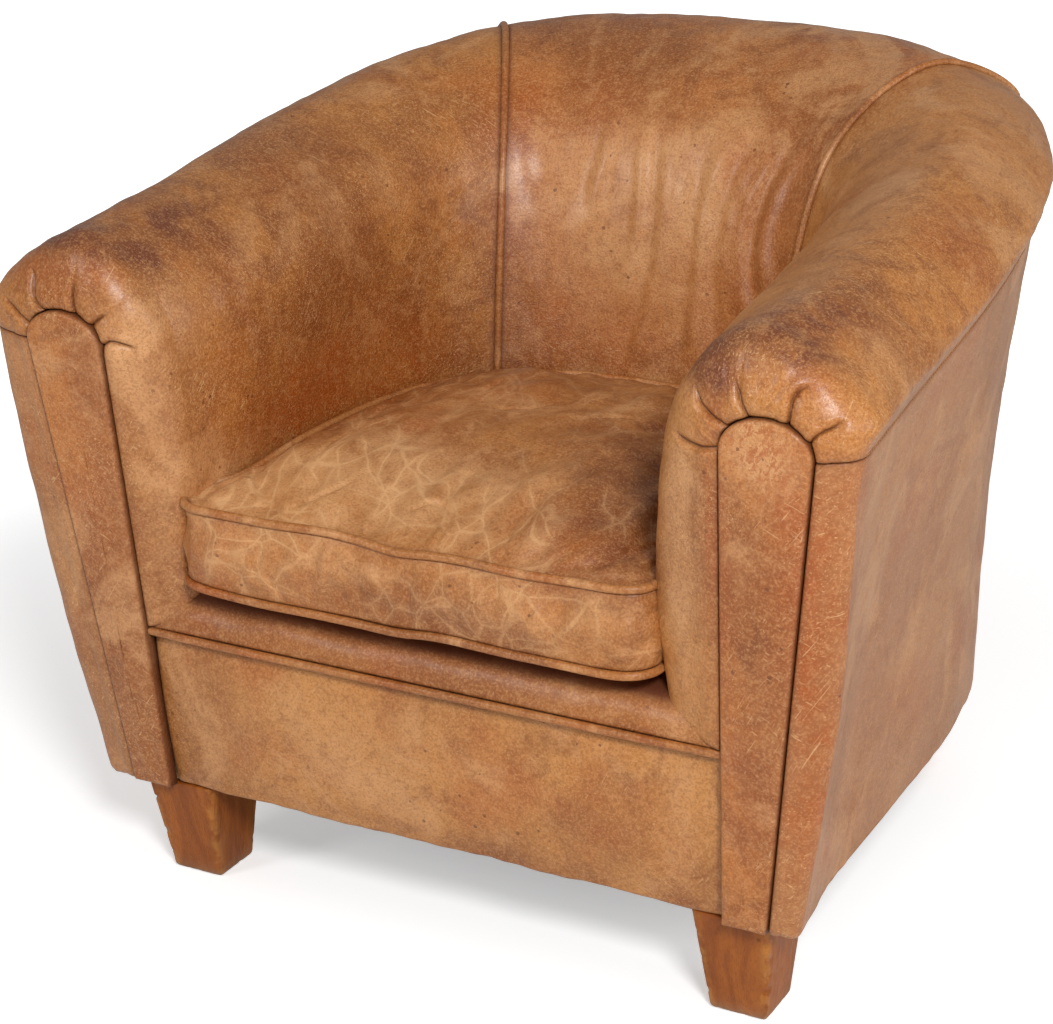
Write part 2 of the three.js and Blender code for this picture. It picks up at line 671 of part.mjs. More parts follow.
for (const { word, sign } of SIDES) {
  const steps = [...OUTSIDE_STEPS, ...padSteps(sign), ...INSIDE_STEPS];
  const loops = [...FRONT_ROWS, ...ARM_ROWS].map((w) => paddingLoop(w, sign, steps));
  add(`${word}_arm_padding`, cut(loft(loops), frameTools(sign)), FOAM);
}
const backSteps = [...OUTSIDE_STEPS, ...ROLL_STEPS, ...INSIDE_STEPS];
const backHalf = [...CORNER_ROWS, ...BACK_ROWS];
const backLoops = [
  ...backHalf.map((w) => paddingLoop(w, 1, backSteps)),
  ...backHalf.slice(0, -1).reverse().map((w) => paddingLoop(w, -1, backSteps)),
];
add("back_padding", cut(loft(backLoops), [...frameTools(-1), ...frameTools(1)]), FOAM);

// Leather covers

function coverSkin(rows, steps, side) {
  const grid = (depth) => rows.map((w) => steps.map((v) => sunkPoint(w, v, side, depth)));
  return skin(grid(0), grid(HIDE));
}

for (const { word, sign } of SIDES) {
  const overRoll = [...pleatSteps(sign), ...INSIDE_STEPS];
  add(`${word}_arm_cover`, coverSkin([...FRONT_ROWS, ...ARM_ROWS], overRoll, sign), LEATHER);
  const outside = [...FRONT_ROWS, ...ARM_ROWS, ...CORNER_ROWS];
  add(`${word}_outside_panel`, coverSkin(outside, OUTSIDE_STEPS, sign), LEATHER_LIGHT);
}

// A cover that crosses the middle of the back, from one side to the other
function backSkin(rows, steps) {
  const grid = (depth) => [
    ...rows.map((w) => steps.map((v) => sunkPoint(w, v, 1, depth))),
    ...rows.slice(0, -1).reverse().map((w) => steps.map((v) => sunkPoint(w, v, -1, depth))),
  ];
  return skin(grid(0), grid(HIDE));
}
add("inside_back_cover", backSkin(backHalf, [...ROLL_STEPS, ...INSIDE_STEPS]), LEATHER_WORN);
add("outside_back_panel", backSkin(BACK_ROWS, OUTSIDE_STEPS), LEATHER_LIGHT);

for (const { word, sign } of SIDES) {
  const line = spread(SEAM + 0.05, SEAT - 0.1, 14).map((v) => sunkPoint(PIPING_AT, v, sign, -PIPING_RISE));
  const before = coverPoint(PIPING_AT - SEAM_STEP, LIP, sign);
  const across = coverPoint(PIPING_AT + SEAM_STEP, LIP, sign).sub(before);
  add(`${word}_back_piping`, cord(line, PIPING_RADIUS, false, 22, across), PIPING_LEATHER);
}

// Facings, seated in the hollow that the gathered cover leaves

for (const { word, sign } of SIDES) {
  const edge = spread(0, LIP, 22).map((v) => facingEdge(v, FACING_INSET));
  const inner = facingEdge(SEAT, FACING_INSET);
  edge.push(inner, { x: lerp(inner.x, FACING.innerFoot, 0.98) + FACING_INSET, z: FACING.foot });
  const middleX = (FACING.innerTop + FACING.outerFoot) / 2;
  const middleZ = (FACING.foot + FACING.spring) / 2;
  const ring = (y, shrink) =>
    edge.map(({ x, z }) => {
      const onEnd = z > FACING.spring || z === FACING.foot;
      const px = x + Math.sign(middleX - x) * shrink;
      const pz = onEnd ? z + Math.sign(middleZ - z) * shrink : z;
      return new THREE.Vector3(sign * px, y - LEAN * pz, pz);
    });
  const back = FACING_DEPTH - FACING_PROUD - SEAM_GAP;
  const shoulder = ring(-FACING_PROUD * 0.7, FACING_ROUND * 0.32);
  const loops = [ring(back, 0), ring(0, 0), shoulder, ring(-FACING_PROUD, FACING_ROUND)];
  add(`${word}_front_facing`, loft(loops, sideways), LEATHER_LIGHT);
}

// Apron, its piping, the rolled border above it and the deck

function apronHalf(z) {
  const share = (z - FACING.foot) / (FACING.spring - FACING.foot);
  return lerp(FACING.innerFoot, FACING.innerTop, share) - 0.8;
}

const APRON_HEIGHTS = [APRON_FOOT, 110, 130, 170, 215, 245, 257, APRON_TOP];
function apronGrid(depth) {
  return APRON_HEIGHTS.map((z, i) => {
    const crown = APRON_CROWN * Math.sin((Math.PI * i) / (APRON_HEIGHTS.length - 1)) ** 0.6;
    const front = (u) => depth + APRON_SETBACK - crown * (1 - u ** 6) - LEAN * z;
    return spread(-1, 1, 12).map((u) => new THREE.Vector3(u * apronHalf(z), front(u), z));
  });
}
add("apron_panel", skin(apronGrid(0), apronGrid(HIDE)), LEATHER_LIGHT);

const pipingHalf = apronHalf(APRON_PIPING_HEIGHT) - 3;
const pipingLine = spread(-pipingHalf, pipingHalf, 8).map(
  (x) => new THREE.Vector3(x, 4 - LEAN * APRON_PIPING_HEIGHT, APRON_PIPING_HEIGHT)
);
add("apron_piping", cord(pipingLine, PIPING_RADIUS, false, 12, UP), PIPING_LEATHER);

// Half width between the arm covers at a depth behind the front
function deckHalf(depth, sign) {
  const spreadOut = sign < 0 ? LEFT_ARM_SPREAD : 0;
  const seat = RAILS[SEAT].front + spreadOut;
  const forward = clamp(1 - depth / (RAILS[SEAT].setback - 2), 0, 1);
  const inward = 1 - Math.sqrt(1 - forward ** 2);
  return lerp(seat, facingEdge(SEAT).x, inward) - 4;
}

function rollGrid(sink) {
  return spread(0, 1, 5).map((q) => {
    const turn = (q * Math.PI) / 2;
    const depth = lerp(ROLL_DEPTH, ROLL_FRONT, Math.cos(turn)) + sink * Math.cos(turn);
    const z = BORDER_FOOT + (DECK_TOP - BORDER_FOOT) * Math.sin(turn) - sink * Math.sin(turn);
    return spread(-1, 1, 12).map((u) => {
      const half = deckHalf(depth - sink, Math.sign(u)) - 1;
      return new THREE.Vector3(u * half, depth - LEAN * BORDER_FOOT, z);
    });
  });
}
add("seat_front_border", skin(rollGrid(0), rollGrid(HIDE)), LEATHER_WORN);

// The deck's outline between the arm and back covers, from the border back
function deckOutline(inset, from) {
  const ts = spread(0.1, 1, 14);
  const half = (sign) =>
    ts.map((t) => {
      const p = coverPoint(t, SEAT, sign);
      return new THREE.Vector2(p.x - (inset * p.x) / RAILS[SEAT].side, p.y - inset);
    });
  const right = half(1);
  const left = half(-1).slice(0, -1).reverse();
  const corner = (p) => new THREE.Vector2(p.x, from);
  return [corner(right[0]), ...right, ...left, corner(left.at(-1))];
}

// A flat sheet or block from an outline in plan
function slab(outline, depth) {
  return new THREE.ExtrudeGeometry(new THREE.Shape(outline), { depth, bevelEnabled: false });
}

const deckFront = ROLL_DEPTH - LEAN * BORDER_FOOT + 1;
const deck = slab(deckOutline(5, deckFront), DECK_THICK);
add("seat_deck_cloth", deck, DARK_CLOTH, new THREE.Vector3(0, 0, DECK_TOP - DECK_THICK));

const SEAT_PAD_FRONT = 36;
const ROLL_FOOT = 264;
const ROLL_TOP = DECK_TOP - 4;
const ROLL_PAD_HALF = 215;
const seatPad = slab(deckOutline(6, SEAT_PAD_FRONT), DECK_TOP - 2 - PAD_UNDERSIDE);
add("seat_padding", seatPad, FOAM, new THREE.Vector3(0, 0, PAD_UNDERSIDE));

// The firm roll on the front rail, under the border
function rollSection(x) {
  const points = spread(0, 1, 5).map((q) => {
    const turn = (q * Math.PI) / 2;
    const depth = lerp(ROLL_DEPTH - 2, ROLL_FRONT + 6, Math.cos(turn));
    const z = ROLL_FOOT + (ROLL_TOP - ROLL_FOOT) * Math.sin(turn);
    return new THREE.Vector3(x, depth - LEAN * BORDER_FOOT, z);
  });
  const behind = [ROLL_TOP, ROLL_FOOT].map((z) => new THREE.Vector3(x, SEAT_PAD_FRONT - 1, z));
  return [...points, ...behind];
}
const rollLoops = [-ROLL_PAD_HALF, ROLL_PAD_HALF].map(rollSection);
add("front_roll_padding", loft(rollLoops, (p) => new THREE.Vector2(p.y, p.z)), FOAM);

for (let k = 0; k < STRAP.count; k++) {
  const y = STRAP.first + k * STRAP.pitch;
  const strap = new THREE.BoxGeometry(STRAP.long, STRAP.wide, STRAP.thick);
  const place = new THREE.Vector3(0, y, RAIL_TOP + SEAM_GAP + STRAP.thick / 2);
  add(`webbing_strap_${k + 1}`, strap, WEBBING, place);
}

// Dust cover under the frame
const DUST_COVER_THICK = 0.9;
const dustHalf = (side) => spread(0.05, 1, 10).map((t) => hemInset(t, side, PAD_INSET + 2));
const dustOutline = [...dustHalf(1), ...dustHalf(-1).slice(0, -1).reverse()].map(planar);
const dust = slab(dustOutline, DUST_COVER_THICK);
dust.translate(0, 0, FOOT.high + SEAM_GAP);
add("dust_cover", cut(dust, boltsAt), DARK_CLOTH);

// Loose seat cushion

// The place on the inside of the shell at t that lies at a height
function insideStep(t, height) {
  let [low, high] = [LIP, SEAT];
  for (let k = 0; k < 20; k++) {
    const middle = (low + high) / 2;
    if (shellPoint(t, middle).z > height) low = middle;
    else high = middle;
  }
  return low;
}

// Plan outline at a height: a straight front with round corners, sides and back that follow the shell
function cushionOutline(height) {
  const c = CUSHION;
  const wall = (sign) =>
    spread(0.09, 1, 11).map((t) => {
      const v = insideStep(t, height);
      const p = coverPoint(t, v, sign);
      const n = coverNormal(t, v, sign).setZ(0).normalize();
      return planar(p).addScaledVector(planar(n), CUSHION_CLEARANCE);
    });
  const corner = (x, sign) =>
    spread(0, 1, 3).map((q) => {
      const turn = (q * Math.PI) / 2;
      const [inwards, back] = [CUSHION_ROUND * (1 - Math.sin(turn)), CUSHION_ROUND * (1 - Math.cos(turn))];
      return new THREE.Vector2(x - sign * inwards, c.front + back);
    });
  const tuck = (x) => new THREE.Vector2(x, c.front + CUSHION_TUCK);
  const right = [...corner(c.right, 1), tuck(c.right - CUSHION_ROUND), ...wall(1)];
  const left = [...corner(c.left, -1), tuck(c.left + CUSHION_ROUND), ...wall(-1).slice(0, -1)].reverse();
  const frontRow = spread(c.left, c.right, 6).slice(1, -1).map((x) => new THREE.Vector2(x, c.front));
  return [...frontRow, ...right, ...left];
}
const lowPlan = cushionOutline(CUSHION.edgeLow);
const highPlan = cushionOutline(CUSHION.edgeHigh + CUSHION_RISE);

// A ring of the cushion: the outline at that height, drawn in by a share and an inset
function cushionRing(share, z, inset = 0) {
  const up = clamp((z - CUSHION.edgeLow) / (CUSHION.edgeHigh - CUSHION.edgeLow), 0, 1);
  return lowPlan.map((low, k) => {
    const from = low.clone().lerp(highPlan[k], up).sub(CUSHION_MIDDLE);
    const reach = from.length();
    from.setLength(reach * share - inset);
    const [x, y] = [CUSHION_MIDDLE.x + from.x, CUSHION_MIDDLE.y + from.y];
    const depth = y - CUSHION.front;
    const lift = CUSHION_RISE * THREE.MathUtils.smoothstep(depth, 0, CUSHION_RISE_DEPTH);
    return new THREE.Vector3(x, y, z + up * lift);
  });
}

// Height of the crowned faces at a share of the way out
const crownHigh = (share) => lerp(CUSHION.high, CUSHION.edgeHigh, share ** 3);
const crownLow = (share) => lerp(CUSHION.low, CUSHION.edgeLow, share ** 4);
const CROWN_SHARES = [0.3, 0.6, 0.82];

const EDGE_MIDDLE = (CUSHION.edgeLow + CUSHION.edgeHigh) / 2;
const CORE_INSET = 11;
const core = [
  ...CROWN_SHARES.map((s) => cushionRing(s, crownLow(s) + HIDE + SEAM_GAP)),
  cushionRing(1, CUSHION.edgeLow + 5, CORE_INSET),
  cushionRing(1, EDGE_MIDDLE, 4),
  cushionRing(1, CUSHION.edgeHigh - 6, CORE_INSET),
  ...CROWN_SHARES.toReversed().map((s) => cushionRing(s, crownHigh(s) - HIDE - SEAM_GAP)),
];
add("cushion_core", loft(core, planar), FOAM);

// A crowned cover panel with its middle closed
function crownPanel(height, direction) {
  const ring = (s, z) => cushionRing(s, z, s > CROWN_SHARES.at(-1) ? CORE_INSET + 1 : 0);
  const shares = [...CROWN_SHARES, 0.97];
  const outer = shares.map((s) => ring(s, height(s)));
  const inner = shares.map((s) => ring(s, height(s) - direction * HIDE));
  return loft([...outer, ...inner.reverse()], planar);
}
add("cushion_top_panel", crownPanel(crownHigh, 1), LEATHER_WORN);
add("cushion_bottom_panel", crownPanel(crownLow, -1), LEATHER);

// The border strip round the cushion
const [borderLow, borderHigh] = [CUSHION.edgeLow + 5, CUSHION.edgeHigh - 5];
const borderRings = [
  cushionRing(1, borderLow, 1),
  cushionRing(1, EDGE_MIDDLE, 0),
  cushionRing(1, borderHigh, 1),
  cushionRing(1, borderHigh, 1 + HIDE),
  cushionRing(1, EDGE_MIDDLE, HIDE),
  cushionRing(1, borderLow, 1 + HIDE),
];
const borderSections = lowPlan.map((_, k) => borderRings.map((ring) => ring[k]));
add("cushion_border", ringSkin(borderSections), LEATHER);

const pipeRing = (z) => cushionRing(1, z, 2);
const PIPE_STEPS = 48;
for (const [word, z] of [["top", CUSHION.edgeHigh], ["bottom", CUSHION.edgeLow]]) {
  const piping = cord(pipeRing(z), PIPING_RADIUS, true, PIPE_STEPS, UP);
  add(`cushion_${word}_piping`, piping, PIPING_LEATHER);
}

chair.position.set(-CENTRE_X, -CENTRE_Y, 0);
export default chair;
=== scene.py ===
# A worn leather club chair: a tub shaped shell under stitched leather, pleats gathered round the two
# front facings, a loose piped cushion, and four tapered wooden feet.
# Sizes in the working functions are millimetres, from the floor line of the chair's front.
import math

import bmesh
import bpy
import numpy as np
from mathutils import Matrix, Vector
from mathutils.kdtree import KDTree


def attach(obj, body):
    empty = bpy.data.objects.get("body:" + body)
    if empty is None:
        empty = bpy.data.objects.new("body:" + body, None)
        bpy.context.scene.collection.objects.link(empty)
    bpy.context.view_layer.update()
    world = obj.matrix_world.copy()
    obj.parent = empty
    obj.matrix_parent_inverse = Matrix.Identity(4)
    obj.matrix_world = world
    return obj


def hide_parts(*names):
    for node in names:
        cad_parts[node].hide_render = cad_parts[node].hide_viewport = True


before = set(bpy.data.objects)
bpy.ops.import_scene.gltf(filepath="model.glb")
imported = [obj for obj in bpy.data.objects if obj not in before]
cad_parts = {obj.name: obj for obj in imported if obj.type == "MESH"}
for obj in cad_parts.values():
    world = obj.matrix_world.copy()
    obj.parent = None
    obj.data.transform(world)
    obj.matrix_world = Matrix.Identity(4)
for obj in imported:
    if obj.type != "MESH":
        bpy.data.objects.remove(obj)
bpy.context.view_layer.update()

MM = 0.001
CHAIR_MIDDLE = np.array([8.2, -329.65, 0.0])
LEAN = 0.0964

# The shell's rails: front half width, side half width, depth, squareness, front height, back height,
# and how far the front end lies behind the facings
RAILS = np.array([
    [342.5, 332.1, 663.2, 4.44, 98.9, 111.9, 14],
    [376, 347, 687.3, 3.68, 300.8, 364.9, 18],
    [398.1, 392.4, 718, 3.03, 538.8, 668.3, 24],
    [405.4, 401.9, 714.2, 3.08, 566.8, 696.3, 40],
    [304.2, 332.6, 625.8, 2.9, 629.7, 734, 45],
    [238.4, 227.7, 486.6, 3.86, 569.2, 663.7, 45],
    [214.7, 218.1, 428.6, 2.8, 410.3, 455.8, 36],
    [222.9, 222, 417.8, 2.58, 281.6, 285.3, 36],
])
RISE_POWER = 1.233
SEAM, LIP, SEAT = 2, 5, 7
ARM_LENGTH = 141
ARM_SHARE = 0.381
LEFT_ARM_SPREAD = 16.4
LEFT_SPREAD_SHARE = 0.42
PIPING_AT = 0.75
BACK_SEAM_AT = 0.83
HIDE = 1.8
PIPED = 3
UNDER_PIPING = 3.4

# The facings on the arm fronts: two straight edges under an arch
FACING_INNER = (278, 287.5)
FACING_OUTER = (320, 366.5)
FACING_FOOT, FACING_SPRING, SEAT_LINE, ARCH_RISE = 105, 537, 271, 30
FACING_PROUD = 5
COVER_SINK = 3

# Pleats: shares of the way over the arch at the facing, part way and at the end, and where they end
PLEATS = {
    1: [(0.154, 0.29, 0.355, -0.5), (0.356, 0.475, 0.487, -0.48), (0.623, 0.7, 0.71, -0.66),
        (0.8, 0.905, 0.91, -0.48), (1.0, 1.04, 1.056, -0.44)],
    -1: [(0.123, 0.265, 0.35, -0.52), (0.349, 0.45, 0.5, -0.46), (0.62, 0.66, 0.69, -0.66),
         (0.782, 0.885, 0.9, -0.7), (0.979, 1.02, 1.055, -0.52)],
}


def lerp(a, b, share):
    return a + (b - a) * share


def smooth(low, high, value):
    share = np.clip((value - low) / (high - low), 0, 1)
    return share * share * (3 - 2 * share)


def rails_at(t):
    """Every rail at t, from the arm front (0) to the middle of the back (1), and one past each end"""
    t = np.asarray(t, float)[None]
    columns = (c.reshape((-1,) + (1,) * (t.ndim - 1)) for c in RAILS.T)
    front, side, back, square, low, high, setback = columns
    y_front = setback - LEAN * low
    along = np.clip(t / ARM_SHARE, 0, 1)
    angle = np.clip((t - ARM_SHARE) / (1 - ARM_SHARE), 0, 1) * math.pi / 2
    power = 2 / square
    on_arm = t < ARM_SHARE
    x = np.where(on_arm, side + (front - side) * (1 - along) ** 2, side * np.abs(np.cos(angle)) ** power)
    y_arm = lerp(y_front, ARM_LENGTH, along)
    y = np.where(on_arm, y_arm, ARM_LENGTH + (back - ARM_LENGTH) * np.sin(angle) ** power)
    rise = np.clip((y - y_front) / (back - y_front), 0, 1) ** RISE_POWER
    p = np.stack([x, y, lerp(low, high, rise)], -1)
    return np.concatenate([[2 * p[0] - p[1]], p, [2 * p[-1] - p[-2]]])


def shell(t, v):
    """A point of the right half of the shell; v runs smoothly from one rail to the next"""
    t, v = np.broadcast_arrays(np.asarray(t, float), np.asarray(v, float))
    rails = rails_at(t)
    i = np.clip(np.floor(v).astype(int), 0, len(RAILS) - 2)
    a, b, c, d = (np.take_along_axis(rails, (i + k)[None, ..., None], 0)[0] for k in range(4))

    def gap(p, q):
        return np.sqrt(np.linalg.norm(q - p, axis=-1))

    def mix(p, q, start, end):
        return p + (q - p) * ((knot - start) / (end - start))[..., None]

    b_knot = gap(a, b)
    c_knot = b_knot + gap(b, c)
    d_knot = c_knot + gap(c, d)
    knot = lerp(b_knot, c_knot, v - i)
    middle = mix(b, c, b_knot, c_knot)
    before = mix(mix(a, b, 0 * knot, b_knot), middle, 0 * knot, c_knot)
    after = mix(middle, mix(c, d, c_knot, d_knot), b_knot, d_knot)
    return mix(before, after, b_knot, c_knot)


def facing_edge(v, inset=0.0):
    """The facing's edge for the same v: up the outer edge, round the arch and down the inner edge"""
    v = np.asarray(v, float)
    share = np.clip(v / SEAM, 0, 1)
    outer = np.stack([lerp(*FACING_OUTER, share) - inset, lerp(FACING_FOOT, FACING_SPRING, share)], -1)
    z = lerp(FACING_SPRING, SEAT_LINE, np.clip((v - LIP) / (SEAT - LIP), 0, 1))
    high = (z - FACING_FOOT) / (FACING_SPRING - FACING_FOOT)
    inner = np.stack([lerp(*FACING_INNER, high) + inset, z], -1)
    angle = math.pi * (v - SEAM) / (LIP - SEAM)
    middle, half = (FACING_INNER[1] + FACING_OUTER[1]) / 2, (FACING_OUTER[1] - FACING_INNER[1]) / 2
    arch_x = middle + (half - inset) * np.cos(angle)
    arch = np.stack([arch_x, FACING_SPRING + (ARCH_RISE - inset) * np.sin(angle)], -1)
    return np.where((v <= SEAM)[..., None], outer, np.where((v >= LIP)[..., None], inner, arch))


def cover(w, v, side=1):
    """The leather's surface: w from -1 at the facing, through 0 at the arm front and 1 at the middle of
    the back, to 2 at the other arm front"""
    w, v = np.broadcast_arrays(np.asarray(w, float), np.asarray(v, float))
    side = np.where(w > 1, -side, side)
    w = np.where(w > 1, 2 - w, w)
    p = shell(np.maximum(w, 0), v)
    spread = LEFT_ARM_SPREAD * (1 - np.clip(w / LEFT_SPREAD_SHARE, 0, 1)) ** 2
    p[..., 0] += np.where(side < 0, spread, 0)
    turn = np.clip(-w, 0, 1) * math.pi / 2
    edge = facing_edge(v)
    inward = 1 - np.cos(turn)
    p[..., 0] = lerp(p[..., 0], edge[..., 0], inward)
    p[..., 2] = lerp(p[..., 2], edge[..., 1], inward)
    p[..., 1] = lerp(p[..., 1], COVER_SINK - LEAN * edge[..., 1], np.sin(turn))
    p[..., 0] *= side
    return p


def normals(grid):
    """Unit normals of a grid of points, pointing out of the upholstery on its right half"""
    n = np.cross(np.gradient(grid, axis=0), np.gradient(grid, axis=1))
    return n / np.maximum(np.linalg.norm(n, axis=-1, keepdims=True), 1e-9)


def runs(grid, axis):
    """Distances along a grid from its start and from its end"""
    steps = np.linalg.norm(np.diff(grid, axis=axis), axis=-1)
    start = np.concatenate([np.zeros_like(np.take(steps, [0], axis)), np.cumsum(steps, axis)], axis)
    return start, np.take(start, [-1], axis) - start


def rolled(distance, radius):
    """How far a turned in edge sinks at a distance from it"""
    if radius == 0:
        return 0 * distance
    inside = np.clip(radius - distance, 0, radius)
    return radius - np.sqrt(radius ** 2 - inside ** 2)


def lumps(points, size, seed, count=14):
    """Soft unevenness between about -1 and 1, for points in millimetres"""
    rng = np.random.default_rng(seed)
    waves = rng.normal(size=(count, 3))
    lengths = np.linalg.norm(waves, axis=1)[:, None]
    waves *= rng.uniform(0.6, 1.6, (count, 1)) * (2 * math.pi / size) / lengths
    phases = rng.uniform(0, 2 * math.pi, count)
    return np.sin(points @ waves.T + phases).sum(-1) / math.sqrt(count)


# Stains, tones, painted shade and painted highlights by place: kind, middle, half sizes and strength
TONES = [
    # right arm: a dark handled patch over the pleats, a warm rim below it, and a greyed inner edge
    ("smudge_and_shade", (318, -26, 616), (38, 24, 16), 1.4),
    ("smudge_and_shade", (338, 20, 630), (46, 50, 24), 1.1),
    ("smudge_and_shade", (276, -26, 594), (30, 30, 16), 1.0),
    ("smudge_and_shade", (350, 110, 648), (30, 80, 24), 0.35),
    ("amber", (312, -38, 596), (62, 16, 12), 0.75),
    ("pale", (246, -34, 430), (20, 30, 170), 0.85),
    ("pale", (372, 40, 580), (30, 60, 26), 0.5),
    ("amber", (284, -48, 430), (12, 22, 130), 0.8),
    ("amber", (372, -34, 440), (24, 22, 110), 1.2),
    ("brown", (378, -26, 420), (22, 24, 120), 0.55),
    ("amber", (352, -12, 250), (22, 24, 130), 0.85),
    ("brown", (380, 260, 655), (40, 130, 40), 0.5),
    # left arm: a darker, longer patch, a worn and faded inner edge, and a painted highlight on its inner
    # ridge
    ("smudge_and_shade", (-306, -10, 616), (70, 26, 16), 1.5),
    ("smudge_and_shade", (-283, 50, 628), (56, 50, 20), 1.1),
    ("smudge_and_shade", (-250, -8, 592), (24, 26, 16), 0.35),
    ("smudge_and_shade", (-330, 130, 655), (50, 60, 20), 0.35),
    ("amber", (-318, -36, 598), (80, 16, 12), 0.7),
    # painted highlight on the roll's inner ridge
    ("pale", (-262, -28, 545), (24, 36, 40), 1.0),
    ("pale", (-250, 0, 430), (20, 40, 120), 0.55),
    # brown inside the arm and low down by the cushion: patina and painted shade inside the tub
    ("brown", (-236, 120, 520), (40, 90, 90), 0.8),
    ("amber", (-372, -22, 500), (24, 24, 90), 0.7),
    ("amber", (-210, 190, 425), (30, 150, 56), 1.4),
    ("brown", (-205, 200, 380), (40, 170, 45), 0.7),
    ("brown", (-330, 330, 690), (60, 170, 30), 0.45),
    ("brown", (-208, 230, 500), (56, 200, 116), 1.2),
    ("brown", (-280, 200, 650), (60, 170, 40), 0.4),
    # back: pale where it has been leant on and a painted highlight in its middle, warm and dark round that,
    # and darker low down by the cushion with patina and painted shade
    # pale wear and a painted highlight
    ("pale", (10, 452, 575), (70, 40, 84), 1.2),
    ("pale", (-80, 440, 560), (40, 40, 80), 0.7),
    ("amber", (-95, 460, 620), (50, 60, 90), 0.5),
    ("brown", (-140, 400, 480), (60, 60, 90), 0.6),
    ("amber", (90, 440, 560), (40, 60, 90), 0.6),
    ("brown", (20, 540, 722), (190, 50, 22), 0.3),
    # patina and painted shade low down by the cushion
    ("brown", (0, 430, 420), (200, 60, 45), 0.5),
    # cushion: worn pale towards the front, darker beside the right arm with patina and a painted shadow of
    # that arm
    ("pale", (-140, 14, 412), (110, 60, 24), 0.9),
    ("pale", (70, -10, 408), (60, 30, 20), 0.6),
    ("pale", (-20, 60, 425), (90, 40, 20), 0.7),
    ("pale", (-80, 150, 432), (60, 60, 20), 0.5),
    # patina and a painted shadow cast by the right arm
    ("brown", (172, 140, 425), (84, 190, 40), 1.8),
    ("smudge_and_shade", (184, 120, 425), (66, 150, 40), 0.9),
    ("amber", (110, 0, 412), (80, 50, 20), 0.7),
    ("amber", (-60, 200, 435), (120, 60, 20), 0.5),
    ("brown", (-20, -38, 350), (60, 20, 30), 0.5),
    ("pale", (-170, -38, 360), (60, 20, 40), 0.3),
    ("brown", (60, -44, 335), (150, 20, 16), 0.6),
    ("pale", (150, -38, 372), (60, 20, 20), 0.3),
    # facings and apron
    ("pale", (324, -58, 538), (26, 20, 28), 0.9),
    ("amber", (345, -52, 470), (14, 20, 70), 0.7),
    ("amber", (300, -40, 200), (18, 20, 90), 0.4),
    ("amber", (-318, -40, 430), (26, 20, 120), 0.5),
    ("pale", (-100, -20, 190), (120, 20, 50), 0.4),
    ("amber", (190, -20, 170), (60, 20, 50), 0.35),
    ("brown", (0, -12, 112), (260, 20, 12), 0.6),
    ("spots", (-225, -18, 228), (55, 20, 26), 1.0),
    ("spots", (-150, -18, 180), (30, 20, 30), 0.7),
    ("spots", (392, 60, 200), (30, 60, 60), 0.9),
    ("spots", (376, -20, 160), (30, 40, 50), 0.8),
    ("pale", (-280, -20, 625), (20, 26, 10), 0.35),
]


def tones(points, kind):
    total = np.zeros(points.shape[:-1])
    wander = 0.4 * lumps(points, 60, 5) + 0.25 * lumps(points, 22, 6)
    for tone, middle, sizes, strength in TONES:
        if tone == kind:
            away = (points - middle) / sizes
            total += strength * np.exp(-np.maximum((away ** 2).sum(-1) + wander, 0) * 0.9)
    return np.clip(total, 0, 1)


TONE_KINDS = ("smudge_and_shade", "pale", "amber", "brown", "spots")


def ring_faces(rows, count):
    """Faces of a closed piece made of rings of points, from the first ring to the last"""
    faces = []
    for i in range(rows - 1):
        for j in range(count):
            k = (j + 1) % count
            faces.append((i * count + j, i * count + k, (i + 1) * count + k, (i + 1) * count + j))
    return faces + [tuple(range(count))[::-1], tuple(range((rows - 1) * count, rows * count))]


def evaluated_mesh(piece):
    """A plain mesh of a piece with its modifiers as they stand"""
    bpy.context.view_layer.update()
    return bpy.data.meshes.new_from_object(piece.evaluated_get(bpy.context.evaluated_depsgraph_get()))


def new_piece(name, points, faces, material, attributes=None, edges=()):
    """A mesh object at the origin, from points in millimetres"""
    mesh = bpy.data.meshes.new(name)
    places = (np.asarray(points, float).reshape(-1, 3) + CHAIR_MIDDLE) * MM
    mesh.from_pydata(places.tolist(), list(edges), [list(f) for f in faces])
    for key, values in (attributes or {}).items():
        layer = mesh.attributes.new(key, "FLOAT", "POINT")
        layer.data.foreach_set("value", np.asarray(values, np.float32).ravel())
    if len(faces):
        mesh.shade_smooth()
    if material:
        mesh.materials.append(material)
    piece = bpy.data.objects.new(name, mesh)
    bpy.context.scene.collection.objects.link(piece)
    return piece


def volume(points, quads):
    a, b, c, d = (points[quads[:, k]] for k in range(4))
    return (np.cross(a, b) * c).sum() + (np.cross(a, c) * d).sum()


def skin(name, outer, inner, material, attributes):
    """A closed sheet from its outer and inner grids"""
    rows, columns = outer.shape[:2]
    o = np.arange(rows * columns).reshape(rows, columns)
    n = o + rows * columns

    def quads(a, b, c, d):
        return np.stack([a, b, c, d], -1).reshape(-1, 4)

    faces = np.concatenate([
        quads(o[:-1, :-1], o[:-1, 1:], o[1:, 1:], o[1:, :-1]),
        quads(n[:-1, :-1], n[1:, :-1], n[1:, 1:], n[:-1, 1:]),
        quads(o[:-1, 0], o[1:, 0], n[1:, 0], n[:-1, 0]),
        quads(o[:-1, -1], n[:-1, -1], n[1:, -1], o[1:, -1]),
        quads(o[0, :-1], n[0, :-1], n[0, 1:], o[0, 1:]),
        quads(o[-1, :-1], o[-1, 1:], n[-1, 1:], n[-1, :-1]),
    ])
    points = np.concatenate([outer.reshape(-1, 3), inner.reshape(-1, 3)])
    if volume(points, faces) < 0:
        faces = faces[:, ::-1]
    doubled = {k: np.concatenate([a.ravel(), a.ravel()]) for k, a in attributes.items()}
    return new_piece(name, points, faces, material, doubled)


